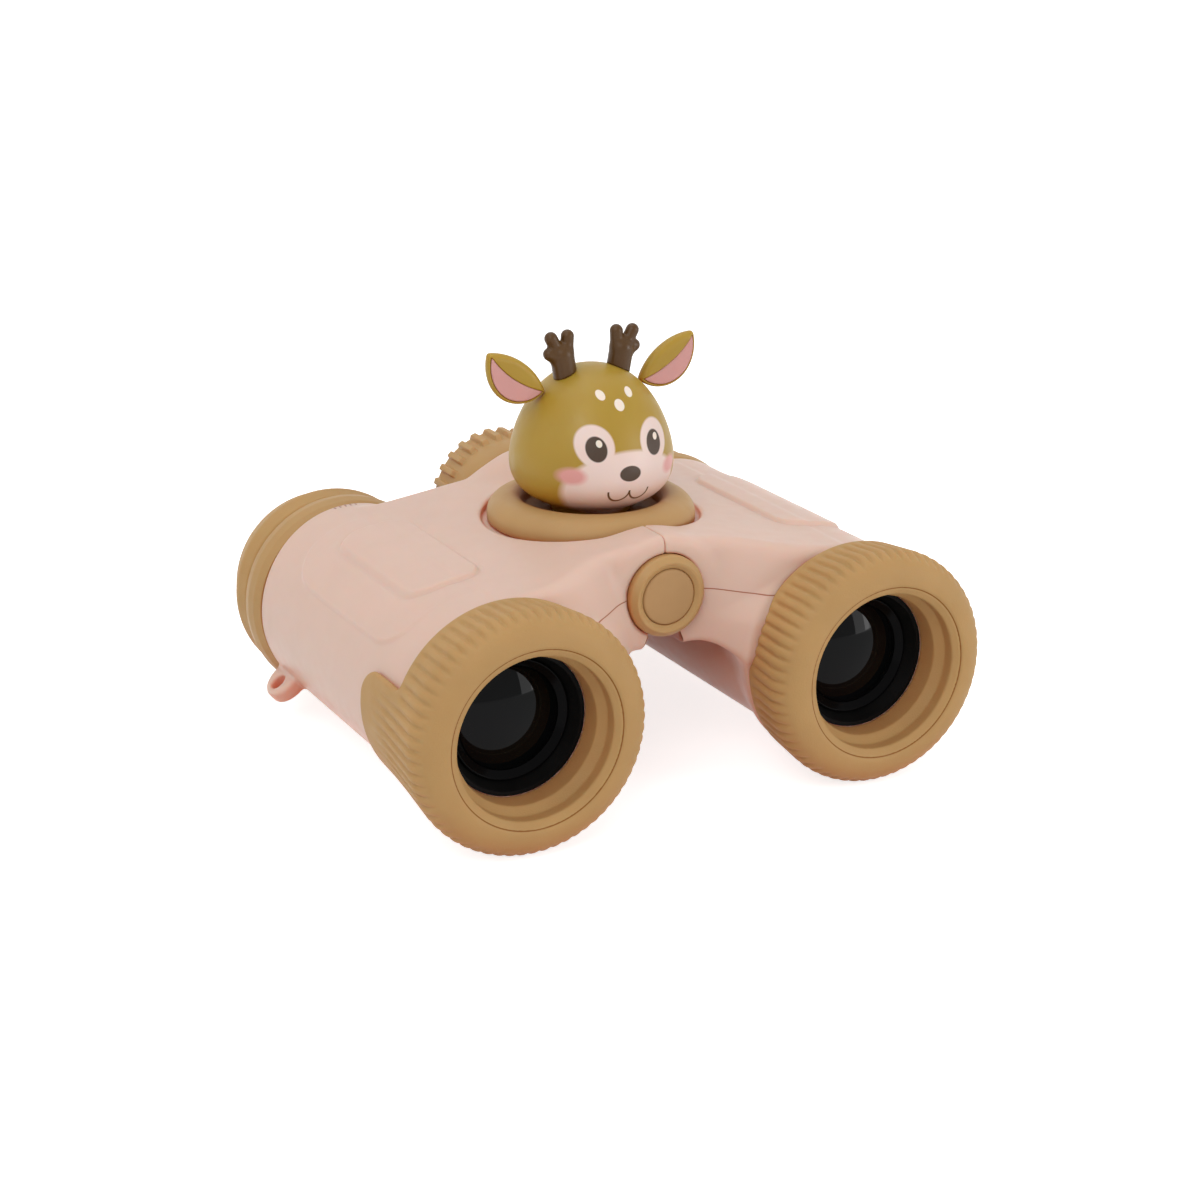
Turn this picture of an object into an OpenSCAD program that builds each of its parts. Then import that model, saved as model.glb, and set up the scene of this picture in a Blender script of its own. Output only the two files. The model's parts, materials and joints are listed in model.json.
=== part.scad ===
// Toy binoculars: two barrels that fold about a centre hinge, with a fawn's head on a turntable.
// The objective ends face -Y, +Z is up, and the wearer's right eye looks through the -X barrel.
// Sizes are millimetres. Modules draw in a working frame whose Y runs back from the front of the
// objective rings and whose Z starts at the barrel axes; placed() moves that frame onto its base.

/* [Layout] */
// Distance between the barrel axes when the halves lie flat
barrel_spacing = 66; // [62:0.5:76]
// Length from the front of the objective rings to the rim of the eyecups
overall_l = 95; // [86:0.5:112]
// Height of the hinge axis above the barrel axes
hinge_rise = 13.5; // [12:0.1:15]
// Largest downward fold of each half about the hinge, in degrees
fold_max = 20; // [8:1:22]
// Focus travel of the objective cells each way from rest
focus_travel = 1.5; // [0.5:0.1:1.8]

/* [Shells] */
// Outside radius of a barrel on its lower shell
barrel_r = 17.7; // [16:0.1:20]
// Step of the raised upper shell above the lower one
top_step = 0.8; // [0.4:0.1:1.2]
// Wall thickness of the shells
wall = 1.7; // [1.4:0.1:2]
// Height of the hump in front of the focus wheel
hump_h = 2.8; // [1.5:0.1:3.2]
// Length of that hump along the hinge
hump_l = 6; // [4:0.5:8]
// Gap between the two halves at the seam above the hinge
seam_gap = 0.3; // [0.2:0.05:0.6]
// How far the front of the bridge lies behind the objective rings
bridge_setback = 6.5; // [5:0.5:7]
// How far the rear of the bridge lies ahead of the barrels' rear ends
bridge_inset = 3.2; // [2.8:0.1:4]
// Length of the raised plate on each upper shell
plate_l = 33.7; // [24:0.1:38]
// Width of the raised plate
plate_w = 12.9; // [9:0.1:15]
// Corner radius of the raised plate
plate_corner_r = 4; // [2:0.5:4.4]
// Height of the raised plate
plate_h = 0.4; // [0.2:0.1:0.8]

/* [Strap lugs] */
// Reach of a lug beyond the barrel
lug_reach = 5.2; // [4.4:0.1:7]
// Width of a lug along the barrel
lug_w = 8; // [6:0.5:9]
// Thickness of a lug
lug_t = 3; // [2:0.1:4]
// Radius of the cord hole in a lug
lug_hole_r = 1.5; // [1:0.1:1.7]
// Angle of a lug below the horizontal
lug_angle = 40; // [30:1:50]

/* [Objective rings] */
// How far a rubber objective ring stands out beyond the barrel
ring_wall = 3.1; // [2.6:0.1:4]
// Length of a ring along the barrel
ring_l = 13; // [12:0.1:14]
// Length of the rounded nose of a ring
ring_nose_l = 6; // [4:0.1:7]
// How far the foremost line of the nose lies inside the ring's outside
nose_inset = 3.4; // [3:0.1:4]
// How much smaller a ring is at its rear edge
ring_taper = 0.8; // [0.4:0.1:1.2]
// Number of grip flutes round a ring
flute_count = 64; // [24:4:72]
// Radius of the round cutter of a flute
flute_r = 0.9; // [0.6:0.1:1.1]
// Depth of a flute
flute_depth = 0.4; // [0.2:0.1:0.5]
// Length of the thumb heel behind a ring
heel_l = 15.5; // [10:0.5:18]
// Angle that the heel spans round the barrel, in degrees
heel_span = 80; // [60:1:84]
// Thickness of the heel at its rear end
heel_t = 1; // [0.8:0.1:1.6]
// Angle of the heel's middle below the horizontal
heel_angle = 15; // [10:1:25]

/* [Optics] */
// Length of an objective cell
cell_l = 20.6; // [18:0.1:23]
// Depth of the cell's front behind the front of the ring
cell_recess = 8.4; // [8.2:0.1:9]
// Wall of an objective cell round its lens
lens_wall = 1.9; // [1.6:0.1:2.4]
// Edge of an objective lens that its retainer covers
lens_edge = 1.5; // [1:0.1:2]
// Edge thickness of an objective lens
lens_t = 2.6; // [2:0.1:3]
// Wall of an eyepiece tube round its eye lens
eye_wall = 3; // [2.6:0.1:3.4]
// Wall of an eyepiece tube round its field lens
field_wall = 2.4; // [2.2:0.1:3]

/* [Eyepieces] */
// Length from the barrel's rear end to the rim of the eyecup
eyepiece_l = 18.4; // [17.5:0.1:20]
// Gap between the barrel and the collar
collar_gap = 0.5; // [0.35:0.05:0.8]
// How far a collar stands out beyond the barrel
collar_step = 1; // [0.6:0.1:1.6]
// Length of a collar
collar_l = 6.2; // [5:0.1:7]
// How far an eyecup lies inside its collar's outside
eyecup_inset = 1.3; // [1:0.1:1.8]
// How much an eyecup narrows to its rim
eyecup_taper = 1.6; // [1:0.1:2.2]
// How much the eyecup's hollow widens to its mouth
eyecup_flare = 1.2; // [0.8:0.1:1.6]
// Depth of the eyecup's hollow
eyecup_depth = 5.4; // [4.8:0.1:6]

/* [Hinge] */
// Radius of the hinge axle
axle_r = 3; // [2.6:0.1:3.4]
// Wall of the hinge knuckles round the axle
knuckle_wall = 2.8; // [2.4:0.1:3.2]
// Radial clearance of pieces that turn or slide on each other
running_gap = 0.05; // [0.03:0.01:0.08]
// Gap between pieces that pass each other without touching
side_gap = 0.3; // [0.25:0.05:0.4]
// Step from the knuckles to the dark hinge sleeve and focus cage
sleeve_step = 1.8; // [1.6:0.1:2.2]
// Length of the hinge sleeve behind the bridge's front
sleeve_l = 8.5; // [7:0.5:9]
// Thickness of the front cap ring
cap_t = 2.2; // [2:0.1:3]
// Width of the front cap ring round its disc
cap_edge = 2.5; // [2:0.1:3]

/* [Focus drive] */
// Step from the hump to the ribs of the focus wheel
wheel_step = 0.9; // [0.6:0.1:1.4]
// Width of the focus wheel
wheel_w = 12; // [10:0.5:13]
// Number of ribs round the focus wheel
rib_count = 26; // [18:2:36]
// Height of a rib
rib_h = 0.7; // [0.4:0.1:1]
// Wall of the focus cage round the nut
cage_skin = 1.5; // [1.2:0.1:1.7]
// Depth of the groove in the nut
groove_depth = 2.1; // [1.8:0.1:2.3]
// Wall of the nut between its groove and the focus screw
nut_wall = 1.6; // [1.4:0.1:1.8]
// Thickness of a focus arm
arm_t = 2; // [1.6:0.1:2.2]
// Width of a focus arm
arm_w = 3.4; // [3:0.1:3.8]

/* [Turntable and head] */
// Radius of the round opening in the upper shells
well_r = 18.8; // [17:0.1:20]
// Gap between that opening and the turntable
well_gap = 0.5; // [0.4:0.05:0.8]
// Height of the turntable's crest above its underside
crest_h = 4.6; // [3.8:0.1:5.2]
// Thickness of the turntable's floor
floor_t = 1.9; // [1.7:0.1:2.4]
// Height of the head
head_h = 26; // [23:0.1:29]
// Wall thickness of the head
head_wall = 1.6; // [1.2:0.1:2.2]
// Length of an ear from its root to its tip
ear_l = 14; // [12:0.1:16]
// Width of an ear
ear_w = 7.6; // [6:0.1:9]
// Thickness of an ear
ear_t = 2.4; // [1.8:0.1:3]
// Height of an antler above its root
antler_h = 8.6; // [6.5:0.1:10]
// Radius of an antler's stem
antler_r = 1.6; // [1.3:0.1:2]

/* [Hidden] */
$fn = 96;

// Colours
PINK = "#DCC0B3";
TAN = "#BE9C6C";
DARK = "#1B1A1A";
GLASS = "#3A4650";
STEEL = "#B9BABD";
OCHRE = "#B59650";
ROSE = "#DB9E99";
BROWN = "#604528";

// One overrun serves every cut, far_off lies past every piece, and part_gap parts fixed pieces
over = 1;
far_off = overall_l + barrel_spacing;
part_gap = 0.02;

// Stations along the barrels
barrel_x = barrel_spacing / 2;
bridge_front = ring_l + bridge_setback;
body_rear = overall_l - eyepiece_l;
bridge_rear = body_rear - bridge_inset;
collar_front = body_rear + collar_gap;
collar_rear = collar_front + collar_l;

// Barrel insides: the spigot under the ring, a bulkhead at each end and the bore between them
spigot_step = 1.3;
spigot_l = 4.5;
front_bulkhead_l = 7;
rear_bulkhead_l = 5;
top_r = barrel_r + top_step;
bore_r = barrel_r - wall;
spigot_r = barrel_r - spigot_step;
spigot_front = ring_l - spigot_l;
bore_front = ring_l + front_bulkhead_l;
bore_rear = body_rear - rear_bulkhead_l;

// What lies in the bore from its wall inwards: the focus arm's bar, then the cell and eyepiece tube
bar_gap = 0.7;
cell_lift = 1;
tube_lift = 1.3;
arm_inner = bore_r - bar_gap - arm_t;
cell_r = arm_inner - cell_lift;
tube_r = arm_inner - tube_lift;

// Hinge radii, from the axle outwards
knuckle_r = axle_r + knuckle_wall;
sleeve_r = knuckle_r + sleeve_step;
sleeve_bore_r = sleeve_r + side_gap;
wrap_r = sleeve_bore_r + wall;
hump_r = wrap_r + hump_h;
nut_r = sleeve_r - cage_skin;
groove_r = nut_r - groove_depth;
screw_r = groove_r - nut_wall;
cap_inset = 0.2;
cap_r = sleeve_r - cap_inset;
disc_r = cap_r - cap_edge;

// Bridge: where its top strip runs onto the barrel, and the step of its underside above the wrap
strip_angle = 76;
strip_overlap_share = 0.05;
under_step = 0.5;
fold_margin = 1.5;
plate_shift = 2.6;
plate_back = 31.5;
lug_rim = 1.3;

// Places along the hinge: sleeve, two knuckles, post, two knuckles, focus cage
right_knuckles = [0, 2];
left_knuckles = [1, 3];
cage_wall = 1.2;
flange_t = 1.2;
groove_gap = 0.1;
groove_w = arm_t + 2 * groove_gap;
nut_l = groove_w + 2 * flange_t;
cage_l = nut_l + 2 * (focus_travel + side_gap + cage_wall);
cage_rear = bridge_rear + side_gap;
cage_front = cage_rear - cage_l;
nut_y = (cage_front + cage_rear) / 2;
clip_r = 2.5;
post_wall = 0.7;
post_l = 2 * (clip_r + side_gap + post_wall);
knuckle_front = bridge_front + sleeve_l;
slot_l = (cage_front - knuckle_front - post_l) / 4;
knuckle_l = slot_l - side_gap;
post_y = knuckle_front + 2 * slot_l + post_l / 2;
hub_l = post_l - side_gap;
web_h_share = 0.8;
cap_front = bridge_front - side_gap - cap_t;
disc_inset = 0.25;
disc_t = 0.9;
disc_front = cap_front + disc_inset;
disc_rear = disc_front + disc_t;

// Shell screws, as [x, y] places in a half
boss_r = 2.4;
boss_inset = 3.4;
boss_clear = 1;
boss_x = wrap_r + boss_r + boss_clear;
boss_front = bridge_front + wall + boss_inset;
boss_rear = bridge_rear - hump_l - wall - boss_inset;
boss_places = [[boss_x, boss_front], [boss_x, boss_rear]];
shell_screw_r = 1.1;
shell_screw_head_r = 1.9;
shell_screw_head_t = 1.2;
shell_screw_grip = 4;

// Objective ring, and its inside from the rim line to the sight hole
rim_inset = 2.2;
bowl_inset = 3.15;
rim_depth = 0.6;
bowl_depth = 2.6;
step_depth = 4.2;
sight_depth = 5.2;
sight_gap = 0.4;
heel_corner_r = 7;
ring_r = barrel_r + ring_wall;
ring_rear_r = ring_r - ring_taper;
nose_r = ring_r - nose_inset;
rim_r = nose_r - rim_inset;
bowl_r = nose_r - bowl_inset;
ring_bore_r = cell_r + sight_gap;

// Objective cell, retainer and lens
mouth_edge = 0.7;
mouth_l = 2.6;
retainer_t = 1.4;
lens_bulge = 1.1;
cell_step = 1;
lens_r = cell_r - lens_wall;
lens_clear_r = lens_r - lens_edge;
mouth_r = cell_r - mouth_edge;
cell_clear_r = lens_r - cell_step;
lens_front = cell_recess + mouth_l + retainer_t;
lens_rear = lens_front + lens_t;
cell_rear = cell_recess + cell_l;
cell_tail_l = 5;

// Focus arm: it leaves the hinge under the shells' split, clears the bridge's floor and meets its bar
axis_gap = norm([barrel_x, hinge_rise]);
arm_drop = wrap_r - under_step - wall - side_gap - arm_w / 2;
arm_slope = asin(arm_drop / (axis_gap - bore_r));
arm_mid = arm_inner + arm_t / 2;
arm_run = barrel_x * cos(arm_slope) + hinge_rise * sin(arm_slope);
arm_reach = arm_run - sqrt(arm_mid * arm_mid + arm_run * arm_run - axis_gap * axis_gap);
arm_rise = atan2(hinge_rise - arm_reach * sin(arm_slope), barrel_x - arm_reach * cos(arm_slope));
shoe_angle = 26;
window_angle = 25;

// Eyepiece
tube_reach = 9;
clear_wall = 3.8;
lens_seat_l = 3.6;
eye_lens_t = 2.6;
tube_front = bore_rear - tube_reach;
tube_rear = overall_l - eyecup_depth;
eye_lens_r = tube_r - eye_wall;
field_lens_r = tube_r - field_wall;
tube_clear_r = tube_r - clear_wall;
collar_front_inset = 1.1;
collar_rear_inset = 0.8;
collar_round_share = 0.5;
collar_front_angle = 60;
collar_rear_angle = 15;
rim_round = 1.2;
collar_r = barrel_r + collar_step;
collar_front_r = collar_r - collar_front_inset;
collar_rear_r = collar_r - collar_rear_inset;
eyecup_base_r = collar_r - eyecup_inset;
eyecup_rim_r = eyecup_base_r - eyecup_taper;
eyecup_mouth_r = tube_r + eyecup_flare;

// Prisms and their holder, in the space between the cell and the eyepiece tube
prism_gap = 2.5;
holder_end = 1.5;
prism_side_share = 0.94;
prism_cut_shares = [0.62, 0.34];
holder_front = cell_rear + focus_travel + prism_gap;
holder_rear = tube_front - prism_gap;
prism_front = holder_front + holder_end;
prism_l = holder_rear - holder_end - prism_front;
prism_side = prism_side_share * bore_r;

// Focus wheel
wheel_front = cage_rear + side_gap;
wheel_rear = wheel_front + wheel_w;
wheel_face_inset = 2.7;
wheel_nose_l = 4.2;
wheel_nose_angle = 75;
wheel_edge = 0.8;
rib_w_share = 0.45;
wheel_cap_inset = 3.6;
wheel_cap_t = 1.4;
key_w = 1.6;
key_h = 1.2;
wheel_r = hump_r + wheel_step;
wheel_face_r = wheel_r - wheel_face_inset;
wheel_cap_r = wheel_face_r - wheel_cap_inset;

// Turntable, its stub in the post and the clip that keeps it there
well_floor = hinge_rise + knuckle_r + side_gap;
table_base = well_floor + side_gap;
table_r = well_r - well_gap;
table_edge_h = 1.2;
crest_inset = 4.3;
dish_inset = 2.2;
crest_r = table_r - crest_inset;
dish_r = crest_r - dish_inset;
stub_r = 2;
stub_groove_r = 1.4;
clip_t = 0.7;
post_w = 9;
post_top = table_base - side_gap;
stub_bottom = hinge_rise + axle_r + side_gap;
clip_z = stub_bottom + side_gap;

// Head: an egg about a vertical axis, cut flat where it stands in the turntable's dish
head_share = 1.22;
head_r = head_share * dish_r;
head_z = table_base + floor_t;
head_mid_share = 0.36;
head_cut = 1;
head_top_power = 2.3;
head_low_power = 2.6;
head_step_count = 12;
plug_share = 0.48;
plug_r = plug_share * head_r;
plug_t = 3;
head_screw_inset = 2;
head_screw_x = plug_r - head_screw_inset;
head_screw_r = 0.8;
head_screw_head_r = 1.6;
head_screw_head_t = 0.8;
head_screw_l = 3.8;
ear_root_shares = [0.57, 0.823];
ear_angle = 32;
lining_l_share = 0.8;
lining_w_share = 0.5;
lining_drop_share = 0.14;
lining_t = 0.6;
antler_root_shares = [0.368, 0.908];
// Antler limbs, each [from x, from z, to x, to z, radius]: shares of the height and of the stem's radius
antler_shares = [
  [0, -0.1, 0, 0.42, 1],
  [0, 0.42, -0.04, 0.86, 0.76],
  [0.02, 0.42, 0.27, 0.86, 0.72],
  [0.05, 0.36, 0.31, 0.58, 0.7]
];

// Frame: the rings stand on Z = 0 and the length is centred on Y = 0
module placed() translate([0, -overall_l / 2, ring_r]) children();
module on_left() placed() children();
module on_right() placed() mirror([1, 0, 0]) children();

// Shapes along Y: an outline in X and Z between two stations, a rod, and a turned profile
module along_y(y0, y1) translate([0, y1, 0]) rotate([90, 0, 0])
  linear_extrude(height = y1 - y0) children();
module rod(x, z, r, y0, y1) along_y(y0, y1) translate([x, z]) circle(r);
module turned(profile) translate([barrel_x, 0, 0]) rotate([-90, 0, 0]) rotate_extrude() polygon(profile);
// Frames whose X points from the barrel axis out to its arm's bar, and from the hinge along the arm
module toward_bar() translate([barrel_x, 0, 0]) rotate([0, 180 + arm_rise, 0]) children();
module along_arm() translate([0, 0, hinge_rise]) rotate([0, arm_slope, 0]) children();

// Points of an elliptic arc about (cr, cy), from angle a to angle b
function arc(cr, cy, rr, ry, a, b, steps = 8) =
  [for (i = [0:steps]) let(t = a + (b - a) * i / steps) [cr + rr * cos(t), cy + ry * sin(t)]];

// Top strip of the bridge: a wedge from the hinge to a line that runs onto the barrel
module top_strip(hinge_r, round_r) {
  start = [0, hinge_rise + hinge_r];
  end = [barrel_x + round_r * cos(strip_angle), round_r * sin(strip_angle)];
  run = end - start;
  polygon([[-strip_overlap_share * run[0], hinge_rise], start - strip_overlap_share * run,
    end + strip_overlap_share * run, [barrel_x, 0]]);
}

// Flat strip below the bridge
module under_strip(hinge_r) translate([0, hinge_rise - hinge_r]) square([barrel_x, hinge_r]);

// Zones that keep a half's upper shell beside the seam, and its lower shell clear of the other half
module upper_zone() translate([seam_gap / 2, -far_off, hinge_rise]) cube([far_off, 2 * far_off, far_off]);
module lower_zone() along_y(-far_off, far_off)
  polygon([[seam_gap / 2, hinge_rise], [far_off, hinge_rise], [far_off, hinge_rise - far_off],
    [seam_gap / 2 + far_off * tan(fold_max + fold_margin), hinge_rise - far_off]]);

// What both shells of a half hold free: bore, sight holes and hinge core
module half_hollow() {
  rod(barrel_x, 0, bore_r, bore_front, bore_rear);
  rod(barrel_x, 0, cell_r + running_gap, spigot_front - over, bore_front + over);
  rod(barrel_x, 0, tube_r + running_gap, bore_rear - over, body_rear + over);
  rod(0, hinge_rise, sleeve_bore_r, bridge_front - over, bridge_rear + over);
}

// Hollow of the bridge between the hinge wrap and the barrel
module bridge_hollow() difference() {
  along_y(bridge_front + wall, bridge_rear - wall) children();
  rod(0, hinge_rise, wrap_r, bridge_front, bridge_rear);
}

// Outside of a half, with the bridge's section as its child
module half_body(round_r) {
  rod(barrel_x, 0, round_r, ring_l, body_rear);
  rod(barrel_x, 0, spigot_r, spigot_front, ring_l + over);
  along_y(bridge_front, bridge_rear) children();
  rod(0, hinge_rise, wrap_r, bridge_front, bridge_rear);
  rod(0, hinge_rise, hump_r, bridge_rear - hump_l, bridge_rear);
}

// Raised plate with round corners on the top of a barrel
module plate() {
  half_x = plate_w / 2 - plate_corner_r;
  half_y = plate_l / 2 - plate_corner_r;
  intersection() {
    union() {
      rod(barrel_x, 0, top_r + plate_h, ring_l, body_rear);
      along_y(bridge_front, bridge_rear) top_strip(wrap_r + plate_h, top_r + plate_h);
    }
    translate([barrel_x + plate_shift, ring_l + plate_back, hinge_rise])
    linear_extrude(height = far_off) {
      square([plate_w, 2 * half_y], center = true);
      square([2 * half_x, plate_l], center = true);
      for (sx = [-1, 1], sy = [-1, 1]) translate([sx * half_x, sy * half_y]) circle(plate_corner_r);
    }
  }
}

module upper_shell() color(PINK) difference() {
  intersection() {
    union() {
      difference() {
        union() {
          half_body(top_r) top_strip(wrap_r, top_r);
          plate();
        }
        half_hollow();
        bridge_hollow() top_strip(wrap_r - wall, top_r - wall);
      }
      intersection() {
        along_y(bridge_front, bridge_rear) top_strip(wrap_r - wall / 2, top_r - wall / 2);
        for (p = boss_places) translate([p[0], p[1], 0]) cylinder(r = boss_r, h = far_off);
      }
    }
    upper_zone();
  }
  translate([0, post_y, well_floor]) cylinder(r = well_r, h = far_off);
  for (p = boss_places) translate([p[0], p[1], hinge_rise - over])
    cylinder(r = shell_screw_r + part_gap, h = shell_screw_grip + over);
}

// One hinge knuckle with the web that ties it to its shell; knuckles 2 and 3 lie behind the post
module knuckle(i) {
  y0 = knuckle_front + i * slot_l + (i > 1 ? post_l : 0) + side_gap / 2;
  rod(0, hinge_rise, knuckle_r, y0, y0 + knuckle_l);
  intersection() {
    along_y(y0, y0 + knuckle_l) translate([0, hinge_rise - web_h_share * knuckle_r])
      square([sleeve_bore_r + wall / 2, web_h_share * knuckle_r]);
    lower_zone();
  }
}

// Strap lug with a round end and a cord hole, on the lower outside of a barrel
module lug() {
  lug_y = body_rear - lug_w / 2;
  end_r = lug_w / 2;
  translate([barrel_x, lug_y, 0]) rotate([0, lug_angle, 0]) difference() {
    translate([0, 0, -lug_t / 2]) linear_extrude(height = lug_t) {
      translate([barrel_r + lug_reach - end_r, 0]) circle(end_r);
      translate([bore_r + wall / 2, -end_r]) square([lug_reach + wall / 2 - end_r, lug_w]);
    }
    translate([barrel_r + lug_reach - lug_rim - lug_hole_r, 0, -lug_t])
      cylinder(r = lug_hole_r, h = 2 * lug_t);
  }
}

module lower_shell(knuckles) color(PINK) difference() {
  union() {
    intersection() {
      union() {
        difference() {
          half_body(barrel_r) under_strip(wrap_r - under_step);
          half_hollow();
          bridge_hollow() under_strip(wrap_r - under_step - wall);
        }
        for (p = boss_places) translate([p[0], p[1], hinge_rise - wrap_r + under_step])
          cylinder(r = boss_r, h = wrap_r - under_step);
      }
      lower_zone();
    }
    for (i = knuckles) knuckle(i);
    lug();
  }
  rod(0, hinge_rise, axle_r + running_gap, knuckle_front - over, cage_front + over);
  along_arm() translate([0, nut_y - arm_t / 2 - focus_travel - side_gap, -arm_w / 2 - side_gap])
    cube([hump_r + over, arm_t + 2 * (focus_travel + side_gap), hump_r]);
  for (p = boss_places) translate([p[0], p[1], hinge_rise - wrap_r + under_step - over]) {
    cylinder(r = shell_screw_r + part_gap, h = wrap_r + 2 * over);
    cylinder(r = shell_screw_head_r + part_gap, h = shell_screw_head_t + over);
  }
}

// The screws that pull a half's shells together from below
module shell_screws() color(STEEL) for (p = boss_places)
  translate([p[0], p[1], hinge_rise - wrap_r + under_step]) {
    cylinder(r = shell_screw_head_r, h = shell_screw_head_t);
    cylinder(r = shell_screw_r, h = wrap_r - under_step + shell_screw_grip - part_gap);
  }

// Rubber objective ring: a rounded nose, a stepped bowl, fluted side and a thumb heel
module objective_ring() color(TAN) {
  seat = spigot_r + part_gap;
  rear = ring_l - part_gap;
  profile = concat(
    [[ring_bore_r, spigot_front - part_gap], [seat, spigot_front - part_gap], [seat, rear],
      [ring_rear_r, rear]],
    arc(nose_r, ring_nose_l, nose_inset, ring_nose_l, 0, -90),
    [[rim_r, rim_depth], [bowl_r, bowl_depth], [bowl_r, step_depth], [ring_bore_r, sight_depth]]);
  taper = atan2(ring_r - ring_rear_r, ring_l - ring_nose_l);
  difference() {
    union() {
      turned(profile);
      heel();
    }
    translate([barrel_x, 0, 0]) rotate([-90, 0, 0]) for (i = [1:flute_count])
      rotate([0, 0, (i - 1 / 2) * 360 / flute_count])
        translate([ring_r - flute_depth + flute_r, 0, ring_nose_l]) rotate([0, -taper, 0])
          translate([0, 0, -over]) cylinder(r = flute_r, h = ring_l - ring_nose_l + over, $fn = 24);
  }
}

// Tongue behind a ring on the lower outside of the barrel, where the palm holds
module heel() translate([barrel_x, 0, 0]) difference() {
  rotate([-90, 0, 0]) rotate([0, 0, heel_angle - heel_span / 2]) rotate_extrude(angle = heel_span)
    polygon([[barrel_r + part_gap, ring_l - over], [ring_rear_r - flute_depth, ring_l - over],
      [barrel_r + heel_t, ring_l + heel_l], [barrel_r + part_gap, ring_l + heel_l]]);
  for (s = [-1, 1]) rotate([0, heel_angle + s * (heel_span / 2 - asin(heel_corner_r / barrel_r)), 0])
    rotate([0, 90, 0]) linear_extrude(height = 2 * ring_r)
      translate([0, ring_l + heel_l - heel_corner_r]) difference() {
        translate([(s - 1) * heel_corner_r, 0]) square(2 * heel_corner_r);
        circle(heel_corner_r);
      }
}

// Black tube that carries the objective lens and slides to focus
module objective_cell() color(DARK) {
  seat = lens_r + part_gap;
  turned([[mouth_r, cell_recess], [cell_r, cell_recess], [cell_r, cell_rear], [cell_clear_r, cell_rear],
    [cell_clear_r, lens_rear + part_gap], [seat, lens_rear + part_gap], [seat, cell_recess + mouth_l]]);
  toward_bar() translate([cell_r - cell_lift / 2, cell_rear - cell_tail_l, -arm_w / 2])
    cube([arm_inner - cell_r + cell_lift / 2, cell_tail_l, arm_w]);
}

module lens_retainer() color(DARK) turned([[lens_clear_r + part_gap, lens_front - part_gap],
  [lens_r, lens_front - part_gap], [lens_r, cell_recess + mouth_l],
  [lens_clear_r + retainer_t / 2, cell_recess + mouth_l]]);

// Objective lens, bulging through its retainer
module objective_lens() color(GLASS) turned(concat(
  arc(0, lens_front, lens_clear_r, lens_bulge, -90, 0), [[lens_r, lens_front], [lens_r, lens_rear]],
  arc(0, lens_rear, cell_clear_r - part_gap, lens_bulge, 0, 90)));

// Arm from the cell's tail back to the focus nut's groove, with a curved shoe in the groove
module focus_arm() color(DARK) {
  shoe_in = groove_r + side_gap;
  shoe_out = nut_r - side_gap;
  toward_bar() translate([arm_inner, cell_rear - cell_tail_l, -arm_w / 2])
    cube([arm_t, nut_y + arm_t / 2 - cell_rear + cell_tail_l, arm_w]);
  along_arm() {
    translate([shoe_out - over, nut_y - arm_t / 2, -arm_w / 2])
      cube([arm_reach - shoe_out + over, arm_t, arm_w]);
    along_y(nut_y - arm_t / 2, nut_y + arm_t / 2) intersection() {
      difference() {
        circle(shoe_out);
        circle(shoe_in);
      }
      polygon([[0, 0], [2 * nut_r * cos(shoe_angle), -2 * nut_r * sin(shoe_angle)],
        [2 * nut_r * cos(shoe_angle), 2 * nut_r * sin(shoe_angle)]]);
    }
  }
}

module prism_holder() color(DARK) difference() {
  rod(barrel_x, 0, bore_r - 2 * running_gap, holder_front, holder_rear);
  translate([barrel_x - prism_side / 2 - part_gap, prism_front - part_gap, -prism_side / 2 - part_gap])
    cube([prism_side + 2 * part_gap, prism_l + 2 * part_gap, prism_side + 2 * part_gap]);
  rod(barrel_x, 0, prism_side / 2 - holder_end, holder_front - over, holder_rear + over);
  toward_bar() translate([arm_inner - 2 * side_gap, holder_front - over, -arm_w / 2 - side_gap])
    cube([arm_inner, holder_rear - holder_front + 2 * over, arm_w + 2 * side_gap]);
}

// Pair of roof prisms with a slanting air gap, seen along X
module prisms() color(GLASS) {
  half = prism_side / 2;
  prism_rear = prism_front + prism_l;
  cut_top = prism_front + prism_cut_shares[0] * prism_l;
  cut_low = prism_front + prism_cut_shares[1] * prism_l;
  translate([barrel_x - half, 0, 0]) rotate([90, 0, 90]) linear_extrude(height = prism_side) {
    polygon([[prism_front, -half], [cut_low, -half], [cut_top, half], [prism_front, half]]);
    polygon([[cut_low + side_gap, -half], [prism_rear, -half], [prism_rear, half],
      [cut_top + side_gap, half]]);
  }
}

module eyepiece_tube() color(DARK) {
  eye_seat = eye_lens_r + part_gap;
  field_seat = field_lens_r + part_gap;
  eye_stop = tube_rear - lens_seat_l;
  field_stop = tube_front + lens_seat_l;
  turned([[tube_r, tube_front], [tube_r, tube_rear], [eye_seat, tube_rear], [eye_seat, eye_stop],
    [tube_clear_r, eye_stop], [tube_clear_r, field_stop], [field_seat, field_stop],
    [field_seat, tube_front]]);
}

// A lens with one bulging face, between two stations; bulge is negative where it bulges forward
module plano_lens(r, y_flat, t, bulge) color(GLASS) turned(concat([[0, y_flat], [r, y_flat]],
  arc(0, y_flat + t, r, bulge, 0, 90)));

module field_lens()
  plano_lens(field_lens_r, tube_front + lens_seat_l - part_gap, -eye_lens_t, -lens_bulge / 2);
module eye_lens()
  plano_lens(eye_lens_r, tube_rear - lens_seat_l + part_gap, eye_lens_t, lens_bulge / 2);

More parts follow.
